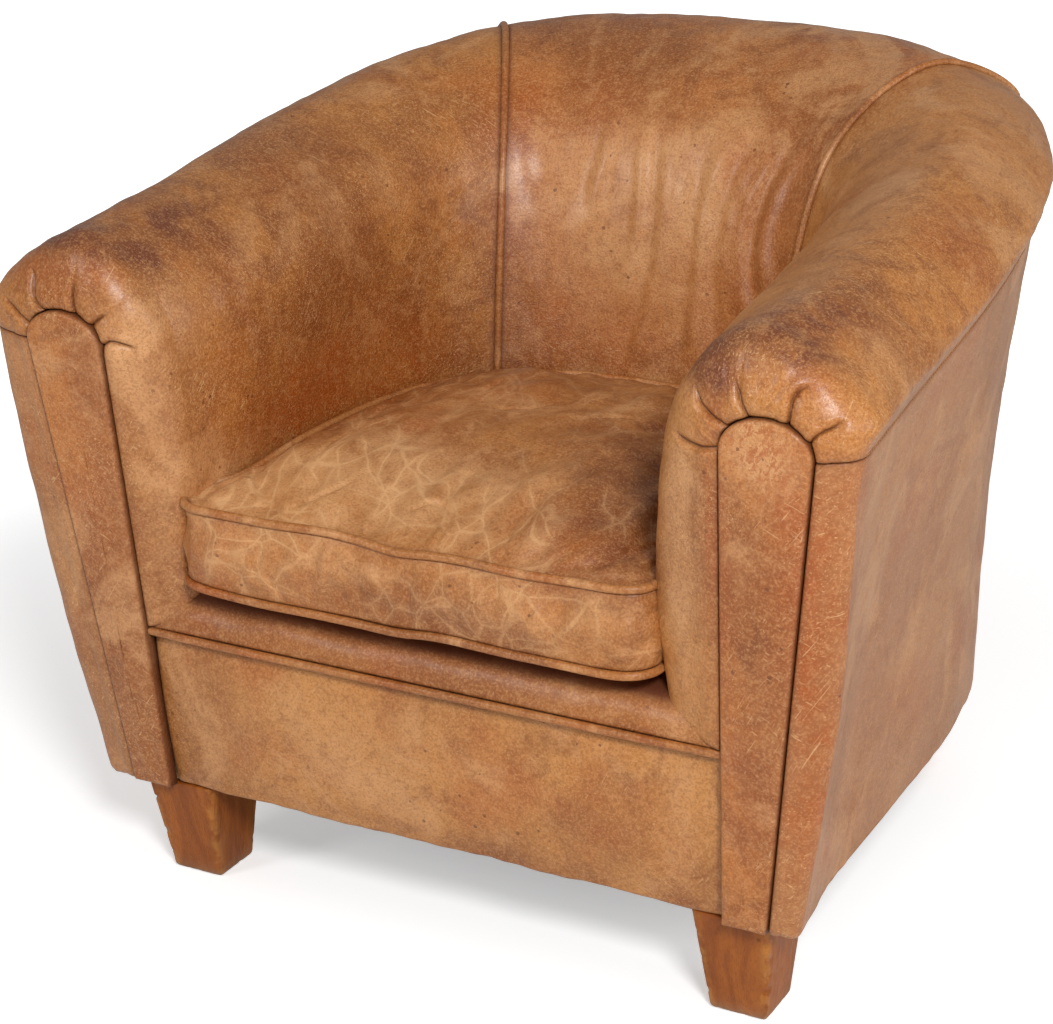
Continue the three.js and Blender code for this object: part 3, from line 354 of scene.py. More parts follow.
# How far a panel turns in at the facings, at a plain seam, beside the seat and not at all
FACING_TURN, SEAM_TURN, SEAT_TURN, NO_TURN = 2.4, 2.2, 2, 0
SEAM_DIRT_AND_SHADE_REACH = 1.7


def leather(name, grid, sign, material, rolls, bulge=0.0, painted_shade=0.0):
    """A leather panel: its edges turned in by the radii in rolls (row start, row end, column start,
    column end), its surface moved outwards by bulge, and its tones by place"""
    ends = runs(grid, 0) + runs(grid, 1)
    sink = sum(rolled(d, r) for d, r in zip(ends, rolls))
    hidden = [{NO_TURN: -1e3, PIPED: UNDER_PIPING}.get(r, 0) for r in rolls]
    nearest = np.min([np.maximum(d - h, 0) for d, h in zip(ends, hidden)], axis=0)
    uneven = 0.7 * lumps(grid, 110, 11) + 0.35 * lumps(grid, 34, 12)
    lift = bulge + uneven * smooth(0, 25, nearest) - sink
    n = normals(grid) * sign
    outer = grid + n * lift[..., None]
    inner = outer - n * HIDE
    # seam marks: dirt and painted shade along the turned in edges, and the painted shade given for folds and
    # under the cushion
    attributes = {"seam": np.maximum(np.exp(-nearest / SEAM_DIRT_AND_SHADE_REACH), painted_shade)}
    for kind in TONE_KINDS:
        attributes[kind] = tones(grid, kind)
    return skin(name, outer, inner, material, attributes)


def steps(start, end, size, near=(), far=()):
    """Values from start to end, with closer ones at the given distances from either end"""
    inner_start = start + (near[-1] if near else 0)
    inner_end = end - (far[-1] if far else 0)
    count = max(int(round((inner_end - inner_start) / size)), 1)
    middle = np.linspace(inner_start, inner_end, count + 1)
    first = [start + d for d in (0, *near[:-1])] if near else []
    last = [end - d for d in (*far[:-1][::-1], 0)] if far else []
    return np.array([*first, *middle, *last])


# Node trees

def socket_of(tree, kind, inputs=None, output=0, **settings):
    """A node in a tree, with its inputs linked or set, and one of its outputs"""
    node = tree.nodes.new(kind)
    for key, value in settings.items():
        setattr(node, key, value)
    for key, value in (inputs or {}).items():
        put(tree, node.inputs[key], value)
    return node.outputs[output]


def put(tree, socket, value):
    if isinstance(value, bpy.types.NodeSocket):
        tree.links.new(value, socket)
    else:
        socket.default_value = value


def calc(tree, operation, *values):
    inputs = dict(enumerate(values))
    return socket_of(tree, "ShaderNodeMath", inputs, operation=operation)


def between(tree, value, low, high, to_low=0.0, to_high=1.0):
    """A smooth step of a value from low to high"""
    inputs = {0: value, 1: low, 2: high, 3: to_low, 4: to_high}
    return socket_of(tree, "ShaderNodeMapRange", inputs, interpolation_type="SMOOTHSTEP")


def tint(tree, share, first, second, blend="MIX"):
    inputs = {0: share, 6: first, 7: second}
    return socket_of(tree, "ShaderNodeMix", inputs, output=2, data_type="RGBA", blend_type=blend)


def noise(tree, vector, scale, detail=3.0, roughness=0.55, distortion=0.0):
    inputs = {"Vector": vector, "Scale": scale, "Detail": detail, "Roughness": roughness,
              "Distortion": distortion}
    return socket_of(tree, "ShaderNodeTexNoise", inputs)


def turned(tree, vector, rotation, scale):
    inputs = {"Vector": vector, "Rotation": rotation, "Scale": scale}
    return socket_of(tree, "ShaderNodeMapping", inputs)


def drawn_out(tree, vector, yaw, pitch, long, thin):
    """Coordinates for a pattern drawn out along a direction: its length and its width, in metres"""
    inputs = {"Vector": vector, "Rotation": (0, -pitch, yaw), "Scale": (long, thin, thin)}
    return socket_of(tree, "ShaderNodeMapping", inputs, vector_type="TEXTURE")


def new_group(name, inputs, outputs):
    """An empty shader group, with (name, kind, default) inputs; its tree, input sockets and output node"""
    tree = bpy.data.node_groups.new(name, "ShaderNodeTree")
    for label, kind, default in inputs:
        item = tree.interface.new_socket(label, in_out="INPUT", socket_type="NodeSocket" + kind)
        if default is not None:
            item.default_value = default
    for label, kind in outputs:
        tree.interface.new_socket(label, in_out="OUTPUT", socket_type="NodeSocket" + kind)
    return tree, tree.nodes.new("NodeGroupInput").outputs, tree.nodes.new("NodeGroupOutput").inputs


def use(tree, group, inputs):
    """A group placed in a tree; its outputs"""
    node = tree.nodes.new("ShaderNodeGroup")
    node.node_tree = group
    for key, value in inputs.items():
        put(tree, node.inputs[key], value)
    return node.outputs


def colour(red, green, blue):
    """A colour written as it shows, 0 to 255, as the linear values that a shader takes"""
    def linear(c):
        return ((c / 255 + 0.055) / 1.055) ** 2.4 if c > 10 else c / 3295

    return linear(red), linear(green), linear(blue), 1


def make_grain():
    tree, given, out = new_group("leather grain", [("Vector", "Vector", None)], [("Height", "Float")])
    pebble = between(tree, noise(tree, given["Vector"], 520.0, 1.0, 0.5), 0.38, 0.56)
    fine = noise(tree, given["Vector"], 1500.0, 0.0)
    put(tree, out["Height"], calc(tree, "MULTIPLY_ADD", fine, 0.4, pebble))
    return tree


def cell_lines(tree, vector, yaw, pitch, long, thin, width):
    """Thin straight lines between cells that are drawn out along a direction"""
    cells = socket_of(tree, "ShaderNodeTexVoronoi",
                      {"Vector": drawn_out(tree, vector, yaw, pitch, long, thin), "Scale": 1.0},
                      feature="DISTANCE_TO_EDGE")
    return between(tree, cells, 0.0, width, 1.0, 0.0)


def bent(tree, vector, scale, reach):
    """Coordinates pushed about softly"""
    inputs = {"Vector": vector, "Scale": scale, "Detail": 1.0}
    push = socket_of(tree, "ShaderNodeTexNoise", inputs, output=1)
    push = socket_of(tree, "ShaderNodeVectorMath", {0: push, "Scale": reach}, operation="SCALE")
    return socket_of(tree, "ShaderNodeVectorMath", {0: vector, 1: push}, operation="ADD")


def make_scratches():
    """Long fine scratches that taper at both ends, most of them rising to the right, in scattered runs"""
    tree, given, out = new_group("scratches", [("Vector", "Vector", None), ("Amount", "Float", 1.0)],
                                 [("Mask", "Float")])
    place = bent(tree, given["Vector"], 7.0, 0.03)
    first = noise(tree, given["Vector"], 13.0, 1.0)
    second = noise(tree, turned(tree, given["Vector"], (1.0, 2.0, 0.5), (1, 1, 1)), 16.0, 1.0)
    total = 0.0
    kinds = [(0.1, 0.95, 0.08, 0.0012, first), (1.45, 0.8, 0.09, 0.0012, second),
             (0.7, 0.25, 0.07, 0.0012, second), (0.3, -0.5, 0.05, 0.0011, first)]
    for yaw, pitch, long, thin, run in kinds:
        streaks = noise(tree, drawn_out(tree, place, yaw, pitch, long, thin), 1.0, 0.0)
        seen = between(tree, run, 0.48, 0.6, 0.2, 1.0)
        line = calc(tree, "MULTIPLY", between(tree, streaks, 0.73, 0.8), seen)
        total = calc(tree, "MAXIMUM", line, total)
    put(tree, out["Mask"], calc(tree, "MULTIPLY", total, given["Amount"]))
    return tree


def make_specks():
    tree, given, out = new_group("specks", [("Vector", "Vector", None), ("Scale", "Float", 70.0),
                                            ("Amount", "Float", 1.0), ("Gathered", "Float", 0.0)],
                                 [("Mask", "Float")])
    node = tree.nodes.new("ShaderNodeTexVoronoi")
    put(tree, node.inputs["Vector"], given["Vector"])
    put(tree, node.inputs["Scale"], given["Scale"])
    chance = socket_of(tree, "ShaderNodeSeparateColor", {0: node.outputs["Color"]})
    size = between(tree, chance, 0.55, 1.0, 0.0, 0.18)
    rough = calc(tree, "MULTIPLY_ADD", noise(tree, given["Vector"], 700.0, 0.0), 0.12, -0.06)
    away = calc(tree, "ADD", node.outputs["Distance"], rough)
    dot = calc(tree, "MULTIPLY", calc(tree, "LESS_THAN", away, size), given["Amount"])
    cluster = between(tree, noise(tree, given["Vector"], 7.0, 2.0), 0.45, 0.62)
    put(tree, out["Mask"], calc(tree, "MULTIPLY", dot, calc(tree, "MAXIMUM", cluster, given["Gathered"])))
    return tree


def make_creases():
    """Long soft creases that cross one another, pale where the finish has cracked"""
    tree, given, out = new_group("creases", [("Vector", "Vector", None), ("Size", "Float", 1.0),
                                             ("Amount", "Float", 1.0)], [("Mask", "Float")])
    place = bent(tree, bent(tree, given["Vector"], 9.0, 0.06), 34.0, 0.012)
    place = socket_of(tree, "ShaderNodeVectorMath", {0: place, "Scale": given["Size"]}, operation="SCALE")
    patches = noise(tree, given["Vector"], 8.5, 2.0)
    total = 0.0
    for yaw, pitch, long, thin in ((1.25, 0.1, 0.13, 0.045), (2.2, 0.15, 0.11, 0.04)):
        wide = cell_lines(tree, place, yaw, pitch, long, thin, 0.2)
        line = calc(tree, "MULTIPLY_ADD", wide, 0.4, between(tree, wide, 0.94, 1.0, 0.0, 0.55))
        total = calc(tree, "MAXIMUM", line, total)
    seen = calc(tree, "MULTIPLY", between(tree, patches, 0.38, 0.54), given["Amount"])
    put(tree, out["Mask"], calc(tree, "MULTIPLY", total, seen))
    return tree


GRAIN, SCRATCHES, SPECKS, CREASES = make_grain(), make_scratches(), make_specks(), make_creases()

HIDE_SHADES = {"Tan": colour(180, 116, 54), "Brown": colour(120, 62, 24), "Pale": colour(202, 147, 96),
               "Amber": colour(160, 76, 14)}
HIDE_AMOUNTS = {"Mottle": 1.0, "Scratch": 1.0, "Speck": 1.0, "Crease": 0.0, "Crease size": 1.0,
                "Marbled": 0.0, "Spotted": 0.0, "Smudged and shaded": 0.0, "Faded and highlit": 0.0, "Glowing": 0.0,
                "Browned and shaded": 0.0, "Seam dirt and shade": 0.0, "Polish": 0.42}
HIDE_INPUTS = [("Vector", "Vector", None),
               *((label, "Color", shade) for label, shade in HIDE_SHADES.items()),
               *((label, "Float", amount) for label, amount in HIDE_AMOUNTS.items())]
SMUDGE_AND_SHADE, CRACKED, SCRATCHED = colour(100, 50, 30), colour(222, 172, 120), colour(216, 172, 122)
SPECK_BROWN, SEAM_DIRT_AND_SHADE_COLOUR = colour(100, 52, 22), colour(92, 44, 18)


def make_hide(name, creased):
    """The tanned hide: mottled patina, stains and fading with painted shade and highlights among them, dirt
    and painted shade along seams, scratches and specks, and creases if it has any
    """
    tree, given, out = new_group(name, HIDE_INPUTS,
                                 [("Colour", "Color"), ("Roughness", "Float"), ("Height", "Float")])
    place = given["Vector"]
    broad = noise(tree, place, 5.0, 3.0, 0.6)
    blotch = noise(tree, place, 21.0, 4.0, 0.68, 1.0)
    cloud = noise(tree, turned(tree, place, (0.4, 0.2, 0.9), (1, 1, 1)), 9.0, 4.0, 0.66, 0.8)
    warm = noise(tree, turned(tree, place, (1.1, 0.5, 0.2), (1, 1, 1)), 7.0, 3.0, 0.6)
    pores = noise(tree, place, 430.0, 1.0, 0.7)
    flecks = noise(tree, place, 120.0, 3.0, 0.65)

    def laid(shade, mask, strength, over):
        return tint(tree, calc(tree, "MULTIPLY", mask, strength), shade, over)

    def mottled(shade, patches, strength, over):
        return laid(shade, patches, calc(tree, "MULTIPLY", given["Mottle"], strength), over)

    shade = mottled(given["Tan"], between(tree, broad, 0.46, 0.62), 0.6, given["Brown"])
    shade = mottled(shade, between(tree, blotch, 0.5, 0.64), 0.5, given["Brown"])
    shade = mottled(shade, between(tree, warm, 0.5, 0.7), 0.55, given["Amber"])
    shade = mottled(shade, between(tree, cloud, 0.5, 0.64), 0.66, given["Pale"])
    ragged = between(tree, blotch, 0.32, 0.6, 0.5, 1.0)
    # tones laid by place: brown, amber, pale and stains; brown and stains also carry painted shade, pale
    # also carries painted highlights
    shade = laid(shade, calc(tree, "MULTIPLY", given["Browned and shaded"], ragged), 0.75, given["Brown"])
    shade = laid(shade, calc(tree, "MULTIPLY", given["Glowing"], ragged), 0.85, given["Amber"])
    shade = laid(shade, given["Faded and highlit"], between(tree, cloud, 0.3, 0.6, 0.5, 0.95), given["Pale"])
    shade = laid(shade, calc(tree, "MULTIPLY", given["Smudged and shaded"], ragged), 0.92, SMUDGE_AND_SHADE)
    shade = laid(shade, between(tree, flecks, 0.5, 0.72), 0.3, given["Brown"])
    shade = laid(shade, between(tree, flecks, 0.5, 0.3), 0.22, given["Pale"])
    shade = laid(shade, between(tree, pores, 0.5, 0.66), 0.3, given["Brown"])
    shade = laid(shade, between(tree, pores, 0.5, 0.34), 0.3, given["Pale"])
    scratch = use(tree, SCRATCHES, {"Vector": place, "Amount": given["Scratch"]})[0]
    marked = scratch
    if creased:
        crackle = noise(tree, drawn_out(tree, place, 0.3, 1.1, 0.011, 0.005), 1.0, 3.0, 0.7, 0.8)
        marble = between(tree, crackle, 0.49, 0.55)
        marble = calc(tree, "MULTIPLY", marble, calc(tree, "MULTIPLY", given["Marbled"], given["Faded and highlit"]))
        shade = laid(shade, marble, 0.8, given["Amber"])
        cracked = calc(tree, "MULTIPLY", given["Crease"], between(tree, given["Faded and highlit"], 0.0, 0.5, 0.5, 1.0))
        crease = use(tree, CREASES, {"Vector": place, "Size": given["Crease size"], "Amount": cracked})[0]
        shade = laid(shade, crease, 0.6, CRACKED)
        marked = calc(tree, "MAXIMUM", crease, scratch)
    shade = laid(shade, scratch, 0.5, SCRATCHED)
    speck = use(tree, SPECKS, {"Vector": place, "Scale": 95.0, "Amount": given["Speck"],
                               "Gathered": given["Spotted"]})[0]
    shade = laid(shade, speck, 0.7, SPECK_BROWN)
    # dirt and painted shade along seams, pleat folds and facing edges, and the painted shadow under the
    # cushion
    shade = laid(shade, given["Seam dirt and shade"], 0.72, SEAM_DIRT_AND_SHADE_COLOUR)
    put(tree, out["Colour"], shade)
    gloss = calc(tree, "MULTIPLY_ADD", blotch, 0.2, calc(tree, "SUBTRACT", given["Polish"], 0.1))
    gloss = calc(tree, "MULTIPLY_ADD", marked, 0.08, gloss)
    put(tree, out["Roughness"], calc(tree, "MULTIPLY_ADD", given["Seam dirt and shade"], 0.2, gloss))
    grain = use(tree, GRAIN, {"Vector": place})[0]
    soft = noise(tree, place, 30.0, 1.0)
    put(tree, out["Height"], calc(tree, "MULTIPLY_ADD", soft, 1.6, calc(tree, "MULTIPLY", grain, 0.32)))
    return tree


PLAIN_HIDE = make_hide("tanned hide", False)
CREASED_HIDE = make_hide("creased hide", True)


def new_material(name):
    material = bpy.data.materials.new(name)
    material.use_nodes = True
    tree = material.node_tree
    tree.nodes.clear()
    shader = tree.nodes.new("ShaderNodeBsdfPrincipled")
    surface = tree.nodes.new("ShaderNodeOutputMaterial")
    tree.links.new(shader.outputs[0], surface.inputs["Surface"])
    place = tree.nodes.new("ShaderNodeTexCoord").outputs["Object"]
    return material, tree, shader.inputs, place


def bumped(tree, shader, height, distance):
    inputs = {"Height": height, "Distance": distance, "Strength": 1.0}
    put(tree, shader["Normal"], socket_of(tree, "ShaderNodeBump", inputs))


# the tones by place that each hide input reads; some carry painted shade and painted highlights
HIDE_ATTRIBUTES = (("Smudged and shaded", "smudge_and_shade"), ("Faded and highlit", "pale"), ("Glowing", "amber"), ("Browned and shaded", "brown"),
                   ("Spotted", "spots"), ("Seam dirt and shade", "seam"))


def hide_material(name, relief=0.0006, coat=0.1, **values):
    """A leather with its own values of the shared hide finish; spaces in input names are underscores"""
    material, tree, shader, place = new_material(name)
    inputs = {key.replace("_", " "): value for key, value in values.items()}
    inputs["Vector"] = place
    for key, attribute in HIDE_ATTRIBUTES:
        inputs[key] = socket_of(tree, "ShaderNodeAttribute", output=2, attribute_name=attribute)
    finish = CREASED_HIDE if "Crease" in values else PLAIN_HIDE
    shade, roughness, height = use(tree, finish, inputs)
    put(tree, shader["Base Color"], shade)
    put(tree, shader["Roughness"], roughness)
    shader["Coat Weight"].default_value = coat
    shader["Coat Roughness"].default_value = 0.28
    shader["Specular IOR Level"].default_value = 0.36
    bumped(tree, shader, height, relief)
    return material


arm_leather = hide_material("arm_leather", coat=0.2, Mottle=0.85, Polish=0.38)
outside_leather = hide_material("outside_leather", Tan=colour(172, 116, 68), Brown=colour(140, 84, 44),
                                Mottle=0.75, Scratch=1.2)
facing_leather = hide_material("facing_leather", coat=0.2, Tan=colour(180, 108, 42), Crease=0.35,
                               Crease_size=2.2, Marbled=1.0)
back_leather = hide_material("inside_back_leather", coat=0.2, Tan=colour(174, 108, 54),
                             Brown=colour(124, 64, 22), Scratch=0.6, Polish=0.36)
cushion_leather = hide_material("cushion_leather", Tan=colour(172, 108, 50), Crease=1.0, Scratch=0.5,
                                Mottle=0.85)
apron_leather = hide_material("apron_leather", Tan=colour(186, 126, 64), Mottle=0.85, Scratch=0.7)
roll_leather = hide_material("roll_leather", coat=0.2, Tan=colour(160, 98, 44), Mottle=0.8, Scratch=0.4)
piping_leather = hide_material("piping_leather", relief=0.0004, Tan=colour(168, 106, 52),
                               Brown=colour(126, 70, 32), Scratch=0.4)


def thread_material():
    material, tree, shader, place = new_material("seam_thread")
    twist = noise(tree, place, 900.0, 1.0)
    put(tree, shader["Base Color"], tint(tree, twist, colour(150, 96, 52), colour(186, 134, 82)))
    shader["Roughness"].default_value = 0.7
    return material


thread = thread_material()


# Leather covers of the arms and the back

FRONT_ROWS = np.concatenate([[-1, -0.996, -0.988, -0.975, -0.955, -0.93, -0.9], np.linspace(-0.87, 0, 30)])
NEAR = (0.001, 0.0025, 0.005, 0.009)
BESIDE_FACING = 3.4

# A pleat: depth, width and sharpness of its fold and of the hollow round it, and the lip beside it
FOLD = ((4.4, 1.1, 1), (2.0, 6.0, 2))
LIP_HEIGHT, LIP_AT, LIP_WIDE = 1.8, 4.5, 4.0
FOLD_SHADE, PUFF_HEIGHT, GATHER_HEIGHT = 1.25, 2.8, 0.7
HEM_RADIUS, HEM_STRIP = 7.0, (34, 26, 18, 12)


def pleat_lines(w, side):
    """For each row, where every pleat lies over the arch and how open it is"""
    lines, open_ = [], []
    for first, second, third, end in PLEATS[side]:
        curve = np.polynomial.Polynomial.fit([-1, -0.75, -0.55], [first, second, third], 2)
        lines.append(np.where(w < -0.55, curve(w), lerp(third, first, smooth(-0.4, 0.6, w))))
        open_.append(smooth(end, end - 0.16, w) ** 0.8)
    return np.stack(lines, -1), np.stack(open_, -1)


def arm_columns(side):
    """Steps over an arm's roll and down its inside: close together at every pleat"""
    pleats = [line[0] for line in PLEATS[side]]
    offsets = np.array([0, 0.005, 0.01, 0.016, 0.024, 0.034, 0.048, 0.065])
    near = np.concatenate([p + s * offsets for p in pleats for s in (-1, 1)])
    edge = np.array([0, 0.002, 0.005, 0.009, 0.015, 0.024])
    down = steps(1.08, 5 / 3, 0.0075, far=(0.001, 0.003, 0.006, 0.01))
    values = np.unique(np.round(np.concatenate([near, edge, np.linspace(0, 1.08, 56)]), 4))
    values = values[(values >= 0) & (values < 1.075)]
    kept = [values[0]]
    for value in values[1:]:
        if value - kept[-1] > 0.0019:
            kept.append(value)
    return np.concatenate([kept, down])


def arm_grid(side):
    w = np.concatenate([FRONT_ROWS, steps(0.0075, PIPING_AT - 0.002, 0.0078, far=NEAR)])
    base = arm_columns(side)
    lines, open_ = pleat_lines(w, side)
    firsts = np.array([line[0] for line in PLEATS[side]])
    shares = np.stack([
        base + np.interp(base, [0, *firsts, 1.4], [0, *(row - firsts), 0]) for row in lines
    ])
    grid = cover(w[:, None], SEAM + (LIP - SEAM) * shares, side)
    away = runs(grid, 1)[0]
    lift = np.zeros(shares.shape)
    crease = np.zeros(shares.shape)
    for k in range(len(firsts)):
        at = np.array([np.interp(x, s, a) for x, s, a in zip(lines[:, k], shares, away)])
        d = (away - at[:, None]) * side
        strength = open_[:, k][:, None]
        fold = sum(deep * np.exp(-(np.abs(d) / wide) ** power) for deep, wide, power in FOLD)
        lip = LIP_HEIGHT * np.exp(-((d - LIP_AT) / LIP_WIDE) ** 2)
        lift += strength * (lip - fold)
        # painted shade along each pleat's fold
        crease = np.maximum(crease, strength * np.exp(-(np.abs(d) / FOLD_SHADE) ** 1.4))
    arch = smooth(-0.12, 0.1, shares) * smooth(1.5, 1.0, shares)
    puff = smooth(-1.0, -0.8, w) * smooth(-0.02, -0.5, w)
    lift += PUFF_HEIGHT * puff[:, None] * arch
    gathers = 0.5 * np.sin(shares * 118 + 1.5 * np.sin(shares * 23)) + 0.4 * np.sin(shares * 171 + 2.0)
    gathered = smooth(-1.0, -0.9, w) * smooth(-0.35, -0.75, w)
    over = smooth(-0.05, 0.05, shares) * smooth(1.2, 1.0, shares)
    lift += GATHER_HEIGHT * gathers * gathered[:, None] * over
    return grid, lift + BESIDE_FACING * smooth(-0.72, -0.96, w)[:, None], crease


def hem_flange(grid, side=1):
    """A grid's hem turned under: a small round corner, then a strip that runs in behind the hem"""
    hem, above = grid[:, 0], grid[:, 3]
    along = np.gradient(hem, axis=0)
    inward = side * np.stack([-along[:, 1], along[:, 0], 0 * along[:, 0]], -1)
    inward /= np.linalg.norm(inward, axis=1)[:, None]
    up = (above - hem) / np.linalg.norm(above - hem, axis=1)[:, None]
    centre = hem + HEM_RADIUS * (inward + up)
    turn = np.linspace(0, math.pi / 2, 7)[:-1, None, None]
    corner = centre - HEM_RADIUS * (inward * np.sin(turn) + up * np.cos(turn))
    strip = hem + inward * np.array(HEM_STRIP)[:, None, None]
    strip[..., 2] = np.maximum(strip[..., 2], FACING_FOOT + 0.2)
    run = runs(grid, 1)[0]
    kept = grid.copy()
    low = run < HEM_RADIUS
    for row in range(len(grid)):
        kept[row][low[row]] = hem[row] + up[row] * (HEM_RADIUS + run[row][low[row]][:, None] * 0.02)
    under = np.concatenate([strip, corner])
    return np.concatenate([under.transpose(1, 0, 2), kept[:, 1:]], 1)


pieces = {}
replaced = {}


def keep(piece, slot, *nodes):
    pieces[piece.name] = piece
    replaced[piece.name] = nodes
    return piece


for word, side in (("left", -1), ("right", 1)):
    grid, lift, crease = arm_grid(side)
    piece = leather(f"{word}_arm_leather", grid, side, arm_leather,
                    (FACING_TURN, PIPED, SEAM_TURN, SEAT_TURN), lift, crease)
    keep(piece, "leather", f"{word}_arm_cover", f"{word}_arm_padding")

    w = np.concatenate([FRONT_ROWS, steps(0.0078, BACK_SEAM_AT - 0.0012, 0.0085, far=NEAR)])
    v = steps(0, SEAM - 0.004, 0.028, near=(0.002, 0.008, 0.02), far=(0.002, 0.006, 0.012, 0.02))
    grid = hem_flange(cover(w[:, None], v[None], side), side)
    front = smooth(-1, -0.8, w) * smooth(-0.1, -0.5, w)
    proud = 1.2 * front + BESIDE_FACING * smooth(-0.72, -0.96, w)
    piece = leather(f"{word}_outside_leather", grid, side, outside_leather,
                    (FACING_TURN, FACING_TURN, NO_TURN, SEAM_TURN), proud[:, None])
    keep(piece, "leather_light", f"{word}_outside_panel")


def back_steps(start, count):
    """Even steps by distance across the middle of the back, from the right to the left"""
    half = (1 - start) * np.linspace(0, 1, 400) ** 2
    w = np.concatenate([1 - half[::-1], 1 + half[1:]])
    line = runs(cover(w, 0 * w + 4.0)[:, None], 0)[0][:, 0]
    inner = np.linspace(8, line[-1] - 8, count)
    ends = np.array([0, 0.8, 2, 3.5, 5.5])
    return np.interp(np.concatenate([ends, inner, line[-1] - ends[::-1]]), line, w)


w = back_steps(PIPING_AT + 0.002, 128)
v = steps(SEAM + 0.006, SEAT, 0.034, near=(0.006, 0.016, 0.03, 0.05), far=(0.004, 0.012, 0.02))
grid = cover(w[:, None], v[None])
wrinkled = smooth(4.9, 5.35, v)[None] * smooth(6.6, 5.9, v)[None] * smooth(1.16, 1.04, w)[:, None]
across = grid[..., 0] + 26 * lumps(grid * (1, 1, 0.5), 210, 31)
wrinkles = 1.56 * np.sin(across / 8.2) + 0.9 * np.sin(across / 5.1 + 1.3)
piece = leather("inside_back_leather", grid, 1, back_leather, (PIPED, PIPED, SEAM_TURN, SEAT_TURN),
                wrinkles * wrinkled)
keep(piece, "leather_worn", "inside_back_cover", "back_padding")

w = back_steps(BACK_SEAM_AT + 0.0012, 110)
v = steps(0, SEAM - 0.006, 0.03, near=(0.002, 0.008, 0.02), far=(0.003, 0.01, 0.02))
grid = hem_flange(cover(w[:, None], v[None]))
piece = leather("outside_back_leather", grid, 1, outside_leather,
                (FACING_TURN, FACING_TURN, NO_TURN, SEAM_TURN))
keep(piece, "leather_light", "outside_back_panel")


# Facings

FACING_GAP, FACING_ROUND, FACING_DIRT_AND_SHADE, FACING_SWELL = 1.0, 4, 0.9, 1.6
FACING_INSETS = (0, 0.4, 1, 1.9, 3, 4.4, 6.2, 8.5, 11.5, 15.5)
FACING_SHARES = (0.55, 0.72, 0.85, 0.94)


def facing_piece(word, side):
    up, over, down = np.linspace(0, SEAM, 60), np.linspace(SEAM, LIP, 64), np.linspace(LIP, SEAT, 36)
    edge = facing_edge(np.concatenate([up[:-1], over[:-1], down]), FACING_GAP)
    foot_inner = np.array([FACING_INNER[0] + FACING_GAP, FACING_FOOT])
    low = edge[-1] + (foot_inner - edge[-1]) * np.linspace(0, 1, 24)[1:, None]
    bottom = foot_inner + (edge[0] - foot_inner) * np.linspace(0, 1, 14)[1:-1, None]
    outline = np.concatenate([edge, low, bottom])
    spine_low = np.array([(FACING_INNER[0] + FACING_OUTER[0]) / 2, FACING_FOOT + 20])
    spine_high = np.array([(FACING_INNER[1] + FACING_OUTER[1]) / 2, FACING_SPRING - 8])
    axis = spine_high - spine_low
    share = np.clip(((outline - spine_low) @ axis) / (axis @ axis), 0, 1)
    spine = spine_low + share[:, None] * axis
    half = np.linalg.norm(outline - spine, axis=1)
    rings = []
    for inset in FACING_INSETS:
        f = inset / half
        rings.append((outline + (spine - outline) * f[:, None], inset + 0 * half))
    for f in FACING_SHARES:
        inset = np.maximum(FACING_INSETS[-1], half * f)
        rings.append((outline + (spine - outline) * np.minimum(inset / half, 1)[:, None], inset))
    points = []
    for plan, inset in rings:
        turned_in = 1.1 * rolled(np.minimum(inset, FACING_ROUND), FACING_ROUND)
        height = FACING_PROUD - turned_in + FACING_SWELL * smooth(4, 30, inset)
        place = np.stack([side * plan[:, 0], -height - LEAN * plan[:, 1], plan[:, 1]], -1)
        place[:, 1] -= 0.5 * lumps(place, 50, 21) * smooth(2, 12, inset)
        points.append(place)
    back = points[0].copy()
    back[:, 1] += 9
    rows = [back, *points]
    inset = np.concatenate([0 * half, *[r[1] for r in rings]])
    stacked = np.concatenate(rows)
    tone = {kind: tones(stacked, kind) for kind in TONE_KINDS}
    # seam marks: dirt and painted shade along the facing's edge, where it stands proud of the cover
    piece = new_piece(f"{word}_facing_leather", stacked, ring_faces(len(rows), len(outline)), facing_leather,
                      {"seam": np.exp(-inset / FACING_DIRT_AND_SHADE), **tone})
    tidy = bmesh.new()
    tidy.from_mesh(piece.data)
    bmesh.ops.remove_doubles(tidy, verts=tidy.verts, dist=0.0002)
    bmesh.ops.recalc_face_normals(tidy, faces=tidy.faces)
    tidy.to_mesh(piece.data)
    tidy.free()
    piece.data.shade_smooth()
    return keep(piece, "leather_light", f"{word}_front_facing")


for word, side in (("left", -1), ("right", 1)):
    facing_piece(word, side)


# Apron, the rolled border above it and the cloth platform under the cushion

def apron_half(z):
    return lerp(*FACING_INNER, (z - FACING_FOOT) / (FACING_SPRING - FACING_FOOT)) - 0.4


APRON_FOOT, APRON_TOP, BORDER_FOOT, DECK_TOP, ROLL_DEPTH = 104, 263.5, 268.5, 306, 40
APRON_CROWN, APRON_SETBACK, APRON_TUCK, APRON_RADIUS = 11, 12, 2.5, 7
ROLL_START, DECK_SAG = 3, 3.5
UNDER_CUSHION_SHADOW = 1.38


